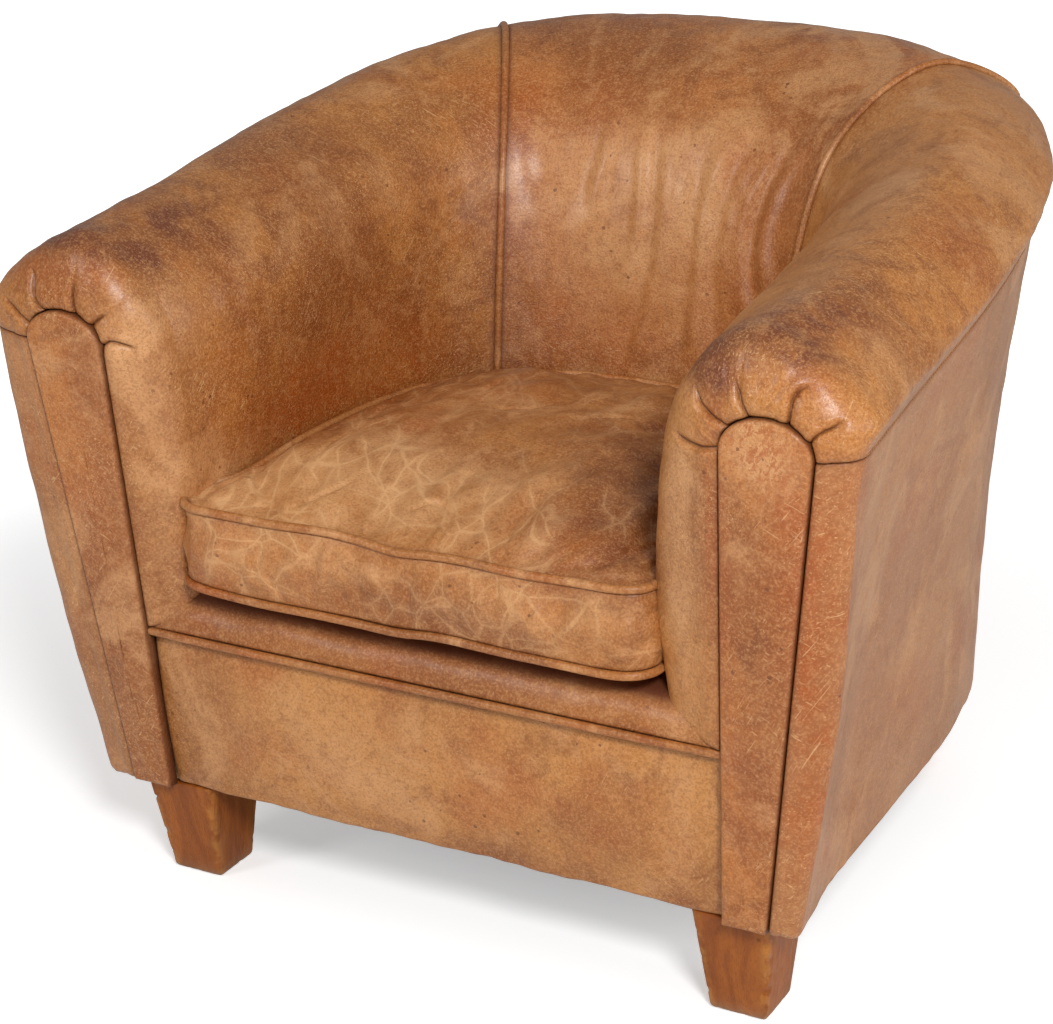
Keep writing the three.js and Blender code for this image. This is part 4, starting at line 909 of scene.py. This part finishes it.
def apron_piece():
    z = steps(APRON_FOOT + APRON_RADIUS, APRON_TOP, 6, far=(0.4, 1.2, 2.4, 4))
    ends = np.array([1, 0.999, 0.997, 0.993, 0.987])
    u = np.concatenate([-ends, np.linspace(-0.98, 0.98, 80), ends[::-1]])
    high = np.clip((z - APRON_FOOT) / (APRON_TOP - APRON_FOOT), 0, 1)
    crown = APRON_CROWN * np.sin(math.pi * high) ** 0.5
    x = u[:, None] * (apron_half(z)[None] + APRON_TUCK)
    y = APRON_SETBACK - crown[None] * (1 - 0.6 * np.abs(u[:, None]) ** 12) - LEAN * z[None]
    face = np.stack([x, y, np.broadcast_to(z, x.shape)], -1)
    turn = np.linspace(math.pi / 2, 0, 7)[:-1]
    foot = face[:, :1]
    corner = foot + APRON_RADIUS * np.stack([0 * turn, 1 - np.cos(turn), -np.sin(turn)], -1)[None]
    strip = corner[:, :1] + np.array([[0, 34, 0.4], [0, 26, 0.4], [0, 16, 0.2], [0, 8, 0]])[None]
    grid = np.concatenate([strip, corner, face], 1)
    piece = leather("apron_leather", grid, 1, apron_leather, (APRON_TUCK, APRON_TUCK, NO_TURN, SEAM_TURN))
    return keep(piece, "leather_light", "apron_panel")


def deck_half(depth, side):
    """Half width at a depth behind the front, up to the arm covers as they turn in to the facings"""
    seat = RAILS[SEAT, 0] + (LEFT_ARM_SPREAD if side < 0 else 0)
    setback = RAILS[SEAT, 6]
    forward = np.clip((setback - depth) / (setback - COVER_SINK), 0, 1)
    inward = 1 - np.sqrt(1 - forward ** 2)
    return lerp(seat, facing_edge(SEAT)[0], inward)


def roll_piece():
    q = np.linspace(0, 1, 22)
    turn = q * math.pi / 2
    depth = ROLL_START + (ROLL_DEPTH - ROLL_START) * (1 - np.cos(turn))
    z = BORDER_FOOT + (DECK_TOP - BORDER_FOOT) * np.sin(turn)
    ends = np.array([1, 0.998, 0.995, 0.99])
    u = np.concatenate([-ends, np.linspace(-0.98, 0.98, 74), ends[::-1]])
    half = np.where(u[:, None] < 0, deck_half(depth, -1)[None], deck_half(depth, 1)[None])
    face = np.stack(np.broadcast_arrays(u[:, None] * half, depth - LEAN * BORDER_FOOT, z), -1)
    behind = face[:, -1:] + np.array([[0, 12, 0], [0, 26, -1], [0, 40, -2]])[None]
    grid = np.concatenate([face, behind], 1)
    # painted shadow: the roll darkened towards its back, under the cushion's overhang
    shadow = UNDER_CUSHION_SHADOW * np.concatenate([smooth(0.42, 0.66, q), np.ones(3)])[None]
    piece = leather("seat_border_leather", grid, 1, roll_leather, (1, 1, 2, 0), 0.0, shadow)
    return keep(piece, "leather_worn", "seat_front_border", "front_roll_padding")


apron_piece()
roll_piece()


# Pipings and stitches grown along a line

def grower(name, sockets, build):
    """A geometry tree: a line of points in, a finished mesh out"""
    tree = bpy.data.node_groups.new(name, "GeometryNodeTree")
    tree.interface.new_socket("Geometry", in_out="INPUT", socket_type="NodeSocketGeometry")
    for label, kind in sockets:
        tree.interface.new_socket(label, in_out="INPUT", socket_type="NodeSocket" + kind)
    tree.interface.new_socket("Material", in_out="INPUT", socket_type="NodeSocketMaterial")
    tree.interface.new_socket("Geometry", in_out="OUTPUT", socket_type="NodeSocketGeometry")
    given = tree.nodes.new("NodeGroupInput").outputs
    line = socket_of(tree, "GeometryNodeMeshToCurve", {"Mesh": given["Geometry"]})
    grown = build(tree, given, line)
    grown = socket_of(tree, "GeometryNodeRealizeInstances", {"Geometry": grown})
    grown = socket_of(tree, "GeometryNodeSetShadeSmooth", {"Geometry": grown})
    grown = socket_of(tree, "GeometryNodeSetMaterial", {"Geometry": grown, "Material": given["Material"]})
    put(tree, tree.nodes.new("NodeGroupOutput").inputs[0], grown)
    return tree


def build_piping(tree, given, line):
    inputs = {"Resolution": given["Sides"], "Radius": given["Radius"]}
    profile = socket_of(tree, "GeometryNodeCurvePrimitiveCircle", inputs)
    inputs = {"Curve": line, "Profile Curve": profile, "Fill Caps": True}
    return socket_of(tree, "GeometryNodeCurveToMesh", inputs)


def build_stitches(tree, given, line):
    node = tree.nodes.new("GeometryNodeCurveToPoints")
    node.mode = "LENGTH"
    put(tree, node.inputs["Curve"], line)
    put(tree, node.inputs["Length"], given["Pitch"])
    thread = socket_of(tree, "GeometryNodeMeshUVSphere", {"Segments": 6, "Rings": 4, "Radius": 1.0})
    size = socket_of(tree, "ShaderNodeCombineXYZ", {0: given["Thick"], 1: given["Thick"], 2: given["Long"]})
    thread = socket_of(tree, "GeometryNodeTransform", {"Geometry": thread, "Scale": size})
    inputs = {"Points": node.outputs["Points"], "Instance": thread, "Rotation": node.outputs["Rotation"]}
    return socket_of(tree, "GeometryNodeInstanceOnPoints", inputs)


PIPING = grower("piping", [("Radius", "Float"), ("Sides", "Int")], build_piping)
STITCHES = grower("stitches", [("Pitch", "Float"), ("Thick", "Float"), ("Long", "Float")], build_stitches)


def along_line(name, tree, points, material, closed=False, **values):
    """A piece grown from a tree along a line of points, as a plain mesh"""
    count = len(points)
    edges = [(i, i + 1) for i in range(count - 1)] + ([(count - 1, 0)] if closed else [])
    piece = new_piece(name, points, [], None, edges=edges)
    modifier = piece.modifiers.new("grown", "NODES")
    modifier.node_group = tree
    sockets = [item for item in tree.interface.items_tree if item.in_out == "INPUT"]
    identifiers = {item.name: item.identifier for item in sockets}
    for label, value in {**values, "Material": material}.items():
        modifier[identifiers[label]] = value
    mesh = evaluated_mesh(piece)
    piece.modifiers.remove(modifier)
    piece.data = mesh
    mesh.name = name
    return piece


def even(points, pitch, closed=False):
    """A line of points spaced evenly"""
    points = np.asarray(points, float)
    if closed:
        points = np.concatenate([points, points[:1]])
    run = np.concatenate([[0], np.cumsum(np.linalg.norm(np.diff(points, axis=0), axis=1))])
    count = max(int(run[-1] / pitch), 2)
    places = np.linspace(0, run[-1], count + 1)[:-1 if closed else None]
    return np.stack([np.interp(places, run, points[:, k]) for k in range(3)], -1)


def raised(w, v, side, lift):
    """Points on the cover's surface, lifted outwards"""
    w, v = np.broadcast_arrays(np.asarray(w, float), np.asarray(v, float))
    along = cover(w + 0.003, v, side) - cover(w - 0.003, v, side)
    over = cover(w, v + 0.02, side) - cover(w, v - 0.02, side)
    n = np.cross(along, over) * side
    return cover(w, v, side) + lift * n / np.linalg.norm(n, axis=-1, keepdims=True)


POINT_PITCH, PIPING_SIDES = 5, 12
BACK_PIPING, APRON_PIPING, CUSHION_PIPING = 0.0036, 0.0037, 0.0038

for word, side in (("left", -1), ("right", 1)):
    line = even(raised(PIPING_AT, np.linspace(SEAM + 0.02, SEAT - 0.1, 160), side, 0.7), POINT_PITCH)
    piece = along_line(f"{word}_back_piping_leather", PIPING, line, roll_leather, Radius=BACK_PIPING,
                       Sides=PIPING_SIDES)
    keep(piece, "piping_leather", f"{word}_back_piping")

APRON_SEAM = (APRON_TOP + BORDER_FOOT) / 2
u = np.linspace(-1, 1, 90)
line = np.stack([u * (apron_half(APRON_SEAM) + 0.6), 1.3 + 2.2 * u ** 12 - LEAN * APRON_SEAM,
                 APRON_SEAM + 0 * u], -1)
piece = along_line("apron_piping_leather", PIPING, line, piping_leather, Radius=APRON_PIPING,
                   Sides=PIPING_SIDES)
keep(piece, "piping_leather", "apron_piping")


# Stitches beside the seams under the rolls

SEAM_STITCH = {"Pitch": 0.0048, "Thick": 0.0005, "Long": 0.0017}
STITCH_AT, STITCH_LIFT = 0.055, 0.5

for word, side in (("left", -1), ("right", 1)):
    w = np.linspace(-0.45, BACK_SEAM_AT - 0.01, 220)
    line = even(raised(w, SEAM + STITCH_AT, side, STITCH_LIFT), POINT_PITCH)
    piece = along_line(f"{word}_seam_stitches", STITCHES, line, thread, **SEAM_STITCH)
    keep(piece, "piping_leather")

w = np.linspace(BACK_SEAM_AT, 2 - BACK_SEAM_AT, 120)
line = even(raised(w, SEAM + STITCH_AT, 1, STITCH_LIFT), POINT_PITCH)
piece = along_line("back_seam_stitches", STITCHES, line, thread, **SEAM_STITCH)
keep(piece, "piping_leather")


# The loose cushion

EDGE_LOW, EDGE_HIGH, CROWN_LOW, CROWN_HIGH = 322, 397, 307, 420
CUSHION_FRONT, CUSHION_LEFT, CUSHION_RIGHT = -38, -247, 224
CUSHION_RISE, CUSHION_RISE_DEPTH, CUSHION_CLEARANCE = 18, 180, 8
CUSHION_ROUND = 30
CUSHION_MIDDLE = np.array([-6, 190])
DIP_AT, DIP_DEPTH, DIP_WIDE = -12, 2.2, 26
LOW_WAVE, HIGH_WAVE = 42, 41
SEAM_SINK = 3.2
VOXEL = 0.005
SWELL_FRAMES, BORDER_SWELL, FACE_SWELL = 20, 8, 16


def inside_step(t, height):
    low, high = np.full(t.shape, float(LIP)), np.full(t.shape, float(SEAT))
    for _ in range(22):
        middle = (low + high) / 2
        above = shell(t, middle)[..., 2] > height
        low, high = np.where(above, middle, low), np.where(above, high, middle)
    return low


def cushion_plan(height):
    t = np.linspace(0.09, 0.9995, 60)
    v = inside_step(t, height)

    def wall(side):
        p = cover(t, v, side)
        n = (raised(t, v, side, 1.0) - p)[:, :2]
        return p[:, :2] + CUSHION_CLEARANCE * n / np.linalg.norm(n, axis=1)[:, None]

    def corner(x, sign):
        turn = np.linspace(0, math.pi / 2, 9)
        ear = np.stack([x - sign * CUSHION_ROUND * (1 - np.sin(turn)),
                        CUSHION_FRONT + CUSHION_ROUND * (1 - np.cos(turn))], -1)
        return np.concatenate([ear, [[x - sign * 5, CUSHION_FRONT + 54]]])

    right = np.concatenate([corner(CUSHION_RIGHT, 1), wall(1)])
    left = np.concatenate([corner(CUSHION_LEFT, -1), wall(-1)])[::-1]
    plan = np.concatenate([[[-8, CUSHION_FRONT]], right, left, [[-8, CUSHION_FRONT]]])
    run = np.concatenate([[0], np.cumsum(np.linalg.norm(np.diff(plan, axis=0), axis=1))])
    places = np.linspace(0, run[-1], 361)[:-1]
    ring = np.stack([np.interp(places, run, plan[:, k]) for k in range(2)], -1)
    for _ in range(24):
        ring = (np.roll(ring, 1, 0) + 2 * ring + np.roll(ring, -1, 0)) / 4
    return ring


LOW_PLAN, HIGH_PLAN = cushion_plan(EDGE_LOW), cushion_plan(EDGE_HIGH + CUSHION_RISE)


def cushion_ring(share, z, inset=0.0):
    up = np.clip((z - EDGE_LOW) / (EDGE_HIGH - EDGE_LOW), 0, 1)
    away = lerp(LOW_PLAN, HIGH_PLAN, up) - CUSHION_MIDDLE
    length = np.linalg.norm(away, axis=1)[:, None]
    plan = CUSHION_MIDDLE + away / length * (length * share - inset)
    lift = CUSHION_RISE * smooth(CUSHION_FRONT, CUSHION_FRONT + CUSHION_RISE_DEPTH, plan[:, 1])
    return np.concatenate([plan, (z + up * lift)[:, None]], 1)


def wavy(ring, seed):
    """A seam line that has settled unevenly"""
    ring = ring.copy()
    front = smooth(60, 0, ring[:, 1])
    dip = DIP_DEPTH * np.exp(-((ring[:, 0] - DIP_AT) / DIP_WIDE) ** 2)
    ring[:, 2] += front * (1.6 * lumps(ring * (1, 0.4, 0), 150, seed) - dip)
    return ring


def settled_cushion():
    """The cushion: a stuffed case that swells between its two seams, which stay where they are"""
    def high(share):
        return lerp(CROWN_HIGH, EDGE_HIGH, share ** 3) - 1.0

    def low(share):
        return lerp(CROWN_LOW, EDGE_LOW, share ** 4) + 1.0

    middle = (EDGE_LOW + EDGE_HIGH) / 2
    rings = [cushion_ring(s, low(s)) for s in (0.08, 0.3, 0.6, 0.82, 0.94)]
    rings += [wavy(cushion_ring(1, EDGE_LOW, 3), LOW_WAVE), cushion_ring(1, middle, 1.5)]
    rings += [wavy(cushion_ring(1, EDGE_HIGH, 3), HIGH_WAVE)]
    rings += [cushion_ring(s, high(s)) for s in (0.94, 0.82, 0.6, 0.3, 0.08)]
    faces = ring_faces(len(rings), len(rings[0]))
    case = new_piece("cushion_case", np.concatenate(rings), faces, None)
    remesh = case.modifiers.new("even", "REMESH")
    remesh.mode = "VOXEL"
    remesh.voxel_size = VOXEL
    mesh = evaluated_mesh(case)
    bpy.data.objects.remove(case)
    cushion = bpy.data.objects.new("seat_cushion", mesh)
    bpy.context.scene.collection.objects.link(cushion)
    return cushion


def mesh_points(mesh):
    points = np.empty(len(mesh.vertices) * 3)
    mesh.vertices.foreach_get("co", points)
    return points.reshape(-1, 3) / MM - CHAIR_MIDDLE


def set_points(mesh, points):
    mesh.vertices.foreach_set("co", ((points + CHAIR_MIDDLE) * MM).ravel())
    mesh.update()


def seam_distance(points, loops):
    line = np.concatenate([even(loop, 1.5, True) for loop in loops])
    tree = KDTree(len(line))
    for k, p in enumerate(line):
        tree.insert(p, k)
    tree.balance()
    return np.array([tree.find(p)[2] for p in points])


CUSHION_SEAMS = [wavy(cushion_ring(1, EDGE_LOW, SEAM_SINK), LOW_WAVE),
                 wavy(cushion_ring(1, EDGE_HIGH, SEAM_SINK), HIGH_WAVE)]


def cushion_piece():
    cushion = settled_cushion()
    start = mesh_points(cushion.data)
    away = seam_distance(start, CUSHION_SEAMS)
    held = cushion.vertex_groups.new(name="held")
    weights = smooth(16, 5, away)
    for k in np.nonzero(weights > 0)[0]:
        held.add([int(k)], float(weights[k]), "REPLACE")
    cloth = cushion.modifiers.new("swell", "CLOTH")
    cloth.settings.quality = 4
    cloth.settings.mass = 0.4
    cloth.settings.use_pressure = True
    cloth.settings.uniform_pressure_force = 4
    cloth.settings.shrink_min = -0.03
    cloth.settings.vertex_group_mass = "held"
    cloth.settings.effector_weights.gravity = 0
    cloth.point_cache.frame_start, cloth.point_cache.frame_end = 1, SWELL_FRAMES
    for number in range(1, SWELL_FRAMES + 1):
        bpy.context.scene.frame_set(number)
    swollen = evaluated_mesh(cushion)
    cushion.modifiers.remove(cloth)
    moved = mesh_points(swollen) - start
    bpy.context.scene.frame_set(1)
    length = np.linalg.norm(moved, axis=1)
    z = start[:, 2]
    on_border = smooth(EDGE_LOW - 8, EDGE_LOW + 4, z) * smooth(EDGE_HIGH + 26, EDGE_HIGH + 4, z)
    cap = lerp(FACE_SWELL, BORDER_SWELL, on_border)
    settled = start + moved * np.minimum(1, cap / np.maximum(length, 1e-6))[:, None]
    set_points(cushion.data, settled)
    cushion.vertex_groups.clear()
    finer = cushion.modifiers.new("finer", "SUBSURF")
    finer.levels = finer.render_levels = 1
    mesh = evaluated_mesh(cushion)
    cushion.modifiers.remove(finer)
    cushion.data = mesh
    points = mesh_points(mesh)
    away = seam_distance(points, CUSHION_SEAMS)
    n = np.empty(len(points) * 3)
    mesh.vertices.foreach_get("normal", n)
    n = n.reshape(-1, 3)
    stretched = points * (1.0, 0.45, 0.6)
    crease = np.exp(-(lumps(stretched, 90, 51) / 0.1) ** 2) * smooth(0.1, 0.7, lumps(points, 110, 52))
    lift = 1.8 * lumps(points, 80, 53) + 1.3 * lumps(stretched, 36, 54) - 2.8 * crease
    lift = lift * smooth(2, 20, away) - 2.0 * smooth(6, 1, away)
    set_points(mesh, points + n * lift[:, None])
    # seam marks: dirt and painted shade beside the pipings
    painted = {"seam": np.exp(-np.maximum(away - 3, 0) / 2)}
    for kind in TONE_KINDS:
        painted[kind] = tones(points, kind)
    for key, values in painted.items():
        mesh.attributes.new(key, "FLOAT", "POINT").data.foreach_set("value", values.astype(np.float32))
    mesh.shade_smooth()
    mesh.materials.append(cushion_leather)
    return keep(cushion, "leather_worn", "cushion_core", "cushion_top_panel", "cushion_bottom_panel",
                "cushion_border")


cushion_piece()
for word, loop in zip(("bottom", "top"), CUSHION_SEAMS):
    piece = along_line(f"cushion_{word}_piping_leather", PIPING, even(loop, POINT_PITCH, True),
                       piping_leather, True, Radius=CUSHION_PIPING, Sides=PIPING_SIDES)
    keep(piece, "piping_leather", f"cushion_{word}_piping")


# Wood, steel and cloth

def make_wood():
    inputs = [("Vector", "Vector", None), ("Light", "Color", colour(196, 128, 66)),
              ("Dark", "Color", colour(140, 80, 34))]
    tree, given, out = new_group("wood figure", inputs, [("Colour", "Color"), ("Height", "Float")])
    long_ = turned(tree, given["Vector"], (0.03, 0.05, 0), (1, 1, 0.06))
    bands = noise(tree, long_, 34.0, 4.0, 0.6, 1.2)
    pores = noise(tree, turned(tree, given["Vector"], (0.03, 0.05, 0), (1, 1, 0.03)), 900.0, 1.0)
    shade = tint(tree, between(tree, bands, 0.36, 0.66), given["Light"], given["Dark"])
    shade = tint(tree, calc(tree, "MULTIPLY", between(tree, pores, 0.52, 0.68), 0.35), shade, given["Dark"])
    put(tree, out["Colour"], shade)
    ribs = calc(tree, "MULTIPLY", bands, 0.6)
    put(tree, out["Height"], calc(tree, "SUBTRACT", ribs, between(tree, pores, 0.5, 0.7)))
    return tree


WOOD = make_wood()


def wood_material(name, light, dark, roughness, worn=False):
    material, tree, shader, place = new_material(name)
    shade, height = use(tree, WOOD, {"Vector": place, "Light": light, "Dark": dark})
    rough = calc(tree, "MULTIPLY_ADD", height, -0.08, roughness)
    if worn:
        edge = socket_of(tree, "ShaderNodeAttribute", output=2, attribute_name="edge")
        low = socket_of(tree, "ShaderNodeAttribute", output=2, attribute_name="low")
        patch = between(tree, noise(tree, place, 55.0, 4.0, 0.7), 0.42, 0.58)
        bare = calc(tree, "MULTIPLY", edge, patch)
        shade = tint(tree, calc(tree, "MULTIPLY", bare, 0.4), shade, colour(190, 132, 64))
        uneven = between(tree, noise(tree, place, 90.0, 3.0), 0.35, 0.6, 0.5, 1.0)
        dust = calc(tree, "MULTIPLY", low, uneven)
        shade = tint(tree, dust, shade, colour(150, 128, 104))
        rough = calc(tree, "MULTIPLY_ADD", dust, 0.3, rough)
        nicks = use(tree, SPECKS, {"Vector": place, "Scale": 60.0, "Amount": 0.8})[0]
        shade = tint(tree, nicks, shade, colour(92, 50, 22))
        shader["Specular IOR Level"].default_value = 0.25
    put(tree, shader["Base Color"], shade)
    put(tree, shader["Roughness"], rough)
    bumped(tree, shader, height, 0.0003)
    return material


def cloth_material(name, thread, gap, count):
    material, tree, shader, place = new_material(name)
    weave = 0.0
    for rotation in ((0, 0, 0), (0, 0, math.pi / 2)):
        inputs = {"Vector": turned(tree, place, rotation, (1, 1, 1)), "Scale": count, "Distortion": 0.6,
                  "Detail": 1.0, "Detail Scale": 3.0}
        weave = calc(tree, "MAXIMUM", socket_of(tree, "ShaderNodeTexWave", inputs), weave)
    dusty = noise(tree, place, 14.0, 4.0)
    shade = tint(tree, weave, gap, thread)
    shade = tint(tree, calc(tree, "MULTIPLY", dusty, 0.3), shade, colour(120, 110, 98))
    put(tree, shader["Base Color"], shade)
    put(tree, shader["Roughness"], calc(tree, "MULTIPLY_ADD", weave, 0.05, 0.88))
    shader["Sheen Weight"].default_value = 0.2
    bumped(tree, shader, weave, 0.0004)
    return material


def steel_material():
    material, tree, shader, place = new_material("bolt_steel")
    dull = noise(tree, place, 160.0, 3.0)
    put(tree, shader["Base Color"], tint(tree, dull, colour(150, 150, 150), colour(106, 98, 90)))
    put(tree, shader["Roughness"], calc(tree, "MULTIPLY_ADD", dull, 0.3, 0.25))
    shader["Metallic"].default_value = 1.0
    bumped(tree, shader, dull, 0.0002)
    return material


foot_wood = wood_material("foot_wood", colour(158, 88, 28), colour(130, 66, 18), 0.45, True)
frame_wood = wood_material("frame_wood", colour(204, 172, 124), colour(168, 130, 84), 0.7)
platform_cloth = cloth_material("platform_cloth", colour(58, 50, 42), colour(26, 22, 18), 260.0)
webbing = cloth_material("jute_webbing", colour(156, 132, 92), colour(92, 72, 44), 190.0)
under_cloth = cloth_material("under_cloth", colour(52, 50, 48), colour(22, 22, 22), 420.0)
bolt_steel = steel_material()

for name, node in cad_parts.items():
    finish = None
    if name.endswith(("rail", "post", "block")):
        finish = frame_wood
    elif name.endswith("bolt"):
        finish = bolt_steel
    elif name.startswith("webbing"):
        finish = webbing
    elif name == "dust_cover":
        finish = under_cloth
    if finish:
        node.data.materials.clear()
        node.data.materials.append(finish)


# Feet

FOOT_BOTTOM, FOOT_WIDE, FOOT_DEEP, FOOT_FORWARD, FOOT_HIGH = 54, 72, 84, 6, 103.6
FOOT_EDGE, FOOT_LEVELS = 3.6, 34
QUARTERS = ((1, 1), (-1, 1), (-1, -1), (1, -1))


def foot_piece(word, x, y, forward):
    """A tapered foot with rounded, chipped edges"""
    z = np.concatenate([[0, 0, 0.4, 1.2, 2.4, 4, 6], np.linspace(9, FOOT_HIGH - 1.5, FOOT_LEVELS),
                        [FOOT_HIGH - 0.6, FOOT_HIGH, FOOT_HIGH]])
    insets = np.concatenate([[9, 4.2, 2.6, 1.4, 0.6, 0.1, 0], np.zeros(FOOT_LEVELS), [0.3, 1.2, 8]])
    rows, edges = [], []
    for height, inset in zip(z, insets):
        share = height / FOOT_HIGH
        half = np.array([lerp(FOOT_BOTTOM, FOOT_WIDE, share), lerp(FOOT_BOTTOM, FOOT_DEEP, share)])
        half = half / 2 - inset
        radius = max(FOOT_EDGE - inset * 0.3, 1.2)
        ring, sharp = [], []
        for quarter, here in enumerate(QUARTERS):
            middle = np.array(here) * (half - radius)
            following = np.array(QUARTERS[(quarter + 1) % 4]) * (half - radius)
            for turn in quarter * math.pi / 2 + np.linspace(0, math.pi / 2, 6):
                ring.append(middle + radius * np.array([math.cos(turn), math.sin(turn)]))
                sharp.append(1.0)
            outwards = radius * np.array([math.cos(turn), math.sin(turn)])
            length = np.linalg.norm(following - middle)
            for along in np.linspace(0, 1, 12)[1:-1]:
                ring.append(lerp(middle, following, along) + outwards)
                sharp.append(math.exp(-min(along, 1 - along) * length / 2.5))
        ring = np.array(ring) + (x, y + forward * FOOT_FORWARD * share)
        rows.append(np.concatenate([ring, np.full((len(ring), 1), height)], 1))
        edges.append(np.array(sharp))
    grid, edge = np.stack(rows), np.stack(edges)
    low = np.exp(-grid[..., 2] / 5)
    edge = np.maximum(edge, np.exp(-grid[..., 2] / 4))
    chips = smooth(0.7, 1.5, lumps(grid, 16, 61 + int(x) % 7)) + 0.6 * smooth(0.6, 1.3, lumps(grid, 7, 62))
    centre = grid.mean(1, keepdims=True)
    toward = centre - grid
    toward[..., 2] = 0
    toward /= np.linalg.norm(toward, axis=-1, keepdims=True)
    worn = edge * (0.5 + 2.0 * chips) * (z[:, None] < FOOT_HIGH - 1) * (insets[:, None] < 3)
    grid = grid + toward * worn[..., None]
    piece = new_piece(f"{word}_foot_wood", grid, ring_faces(*grid.shape[:2]), foot_wood,
                      {"edge": edge, "low": low})
    return keep(piece, "foot_wood", f"{word}_foot")


for word, x, y, forward in (("front_left", -280.5, 48, -1), ("front_right", 280.5, 48, -1),
                            ("rear_left", -232, 556, 0), ("rear_right", 232, 556, 0)):
    foot_piece(word, x, y, forward)


# The cloth platform under the cushion

def platform_piece():
    t = np.linspace(0.1, 1, 60)
    front = ROLL_DEPTH - LEAN * BORDER_FOOT + 0.5

    def half(side):
        p = cover(t, SEAT + 0 * t, side)
        return np.stack([p[:, 0] - side * 4 * np.clip(np.abs(p[:, 0]) / 230, 0, 1), p[:, 1] - 4], -1)

    right, left = half(1), half(-1)[:-1][::-1]
    plan = np.concatenate([[[right[0, 0], front]], right, left, [[left[-1, 0], front]]])
    plan = even(np.concatenate([plan, np.zeros((len(plan), 1))], 1), 8, True)[:, :2]
    middle = np.array([0, 200])
    levels = [(1, DECK_TOP - 9), (1, DECK_TOP - 1.2), (0.985, DECK_TOP)]
    levels += [(s, DECK_TOP - DECK_SAG * (1 - s ** 2)) for s in (0.9, 0.75, 0.6, 0.45, 0.3, 0.15, 0.04)]
    rows = []
    for share, z in levels:
        rows.append(np.concatenate([middle + (plan - middle) * share, np.full((len(plan), 1), z)], 1))
    faces = ring_faces(len(rows), len(plan))
    piece = new_piece("seat_platform_cloth", np.concatenate(rows), faces, platform_cloth)
    return keep(piece, "dark_cloth", "seat_deck_cloth", "seat_padding")


platform_piece()


# Camera, floor and light

CAMERA_ANGLES = (26.85792905, 20.86392249, -0.14149799)
CAMERA_PLACE = (1.02166, -1.98946, 1.14946)
CAMERA_LENS, CAMERA_SHIFT = 84.786, (-0.0821, 0.0090)
WHITE = (1, 1, 1, 1)


def make_camera():
    azimuth, elevation, roll = (math.radians(a) for a in CAMERA_ANGLES)
    level = math.cos(elevation)
    back = Vector((math.sin(azimuth) * level, -math.cos(azimuth) * level, math.sin(elevation)))
    right = (-back).cross(Vector((0, 0, 1))).normalized()
    up = right.cross(-back)
    across = math.cos(roll) * right + math.sin(roll) * up
    above = -math.sin(roll) * right + math.cos(roll) * up
    camera = bpy.data.objects.new("camera", bpy.data.cameras.new("camera"))
    camera.matrix_world = Matrix((across, above, back)).transposed().to_4x4()
    camera.location = CAMERA_PLACE
    camera.data.sensor_width = 36
    camera.data.lens = CAMERA_LENS
    camera.data.shift_x, camera.data.shift_y = CAMERA_SHIFT
    bpy.context.scene.collection.objects.link(camera)
    bpy.context.scene.camera = camera


def make_lamp(name, place, target, size, power):
    lamp = bpy.data.lights.new(name, "AREA")
    lamp.shape = "DISK"
    lamp.size = size
    lamp.energy = power
    holder = bpy.data.objects.new(name, lamp)
    holder.location = place
    holder.rotation_euler = (Vector(target) - Vector(place)).to_track_quat("-Z", "Y").to_euler()
    bpy.context.scene.collection.objects.link(holder)


def make_floor():
    material, tree, shader, place = new_material("studio_floor")
    shader["Base Color"].default_value = (0.92, 0.92, 0.92, 1)
    shader["Roughness"].default_value = 0.9
    path = tree.nodes.new("ShaderNodeLightPath")
    shader["Emission Color"].default_value = WHITE
    away = socket_of(tree, "ShaderNodeVectorMath", {0: place}, output=1, operation="LENGTH")
    glow = between(tree, away, 0.5, 2.2, 0.4, 1.0)
    put(tree, shader["Emission Strength"], calc(tree, "MULTIPLY", path.outputs["Is Camera Ray"], glow))
    mesh = bpy.data.meshes.new("studio_floor")
    mesh.from_pydata([(-9, -9, 0), (9, -9, 0), (9, 9, 0), (-9, 9, 0)], [], [(0, 1, 2, 3)])
    mesh.materials.append(material)
    floor = bpy.data.objects.new("studio_floor", mesh)
    bpy.context.scene.collection.objects.link(floor)


def make_world():
    world = bpy.data.worlds.new("studio")
    world.use_nodes = True
    tree = world.node_tree
    tree.nodes.clear()
    path = tree.nodes.new("ShaderNodeLightPath")
    plain = socket_of(tree, "ShaderNodeBackground", {0: WHITE, 1: 0.3})
    white = socket_of(tree, "ShaderNodeBackground", {0: WHITE, 1: 1.0})
    mixed = socket_of(tree, "ShaderNodeMixShader", {0: path.outputs["Is Camera Ray"], 1: plain, 2: white})
    tree.links.new(mixed, tree.nodes.new("ShaderNodeOutputWorld").inputs[0])
    bpy.context.scene.world = world


make_camera()
make_floor()
make_world()
make_lamp("key", (1.8, -2.4, 2.4), (0, 0, 0.45), 0.7, 80)
make_lamp("side", (3.0, -0.2, 1.6), (0, 0, 0.4), 1.4, 22)
make_lamp("fill", (-1.45, -2.9, 2.0), (0, 0, 0.45), 0.9, 25)
bpy.context.scene.view_settings.view_transform = "Standard"

for name, piece in pieces.items():
    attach(piece, "root")
    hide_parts(*replaced[name])
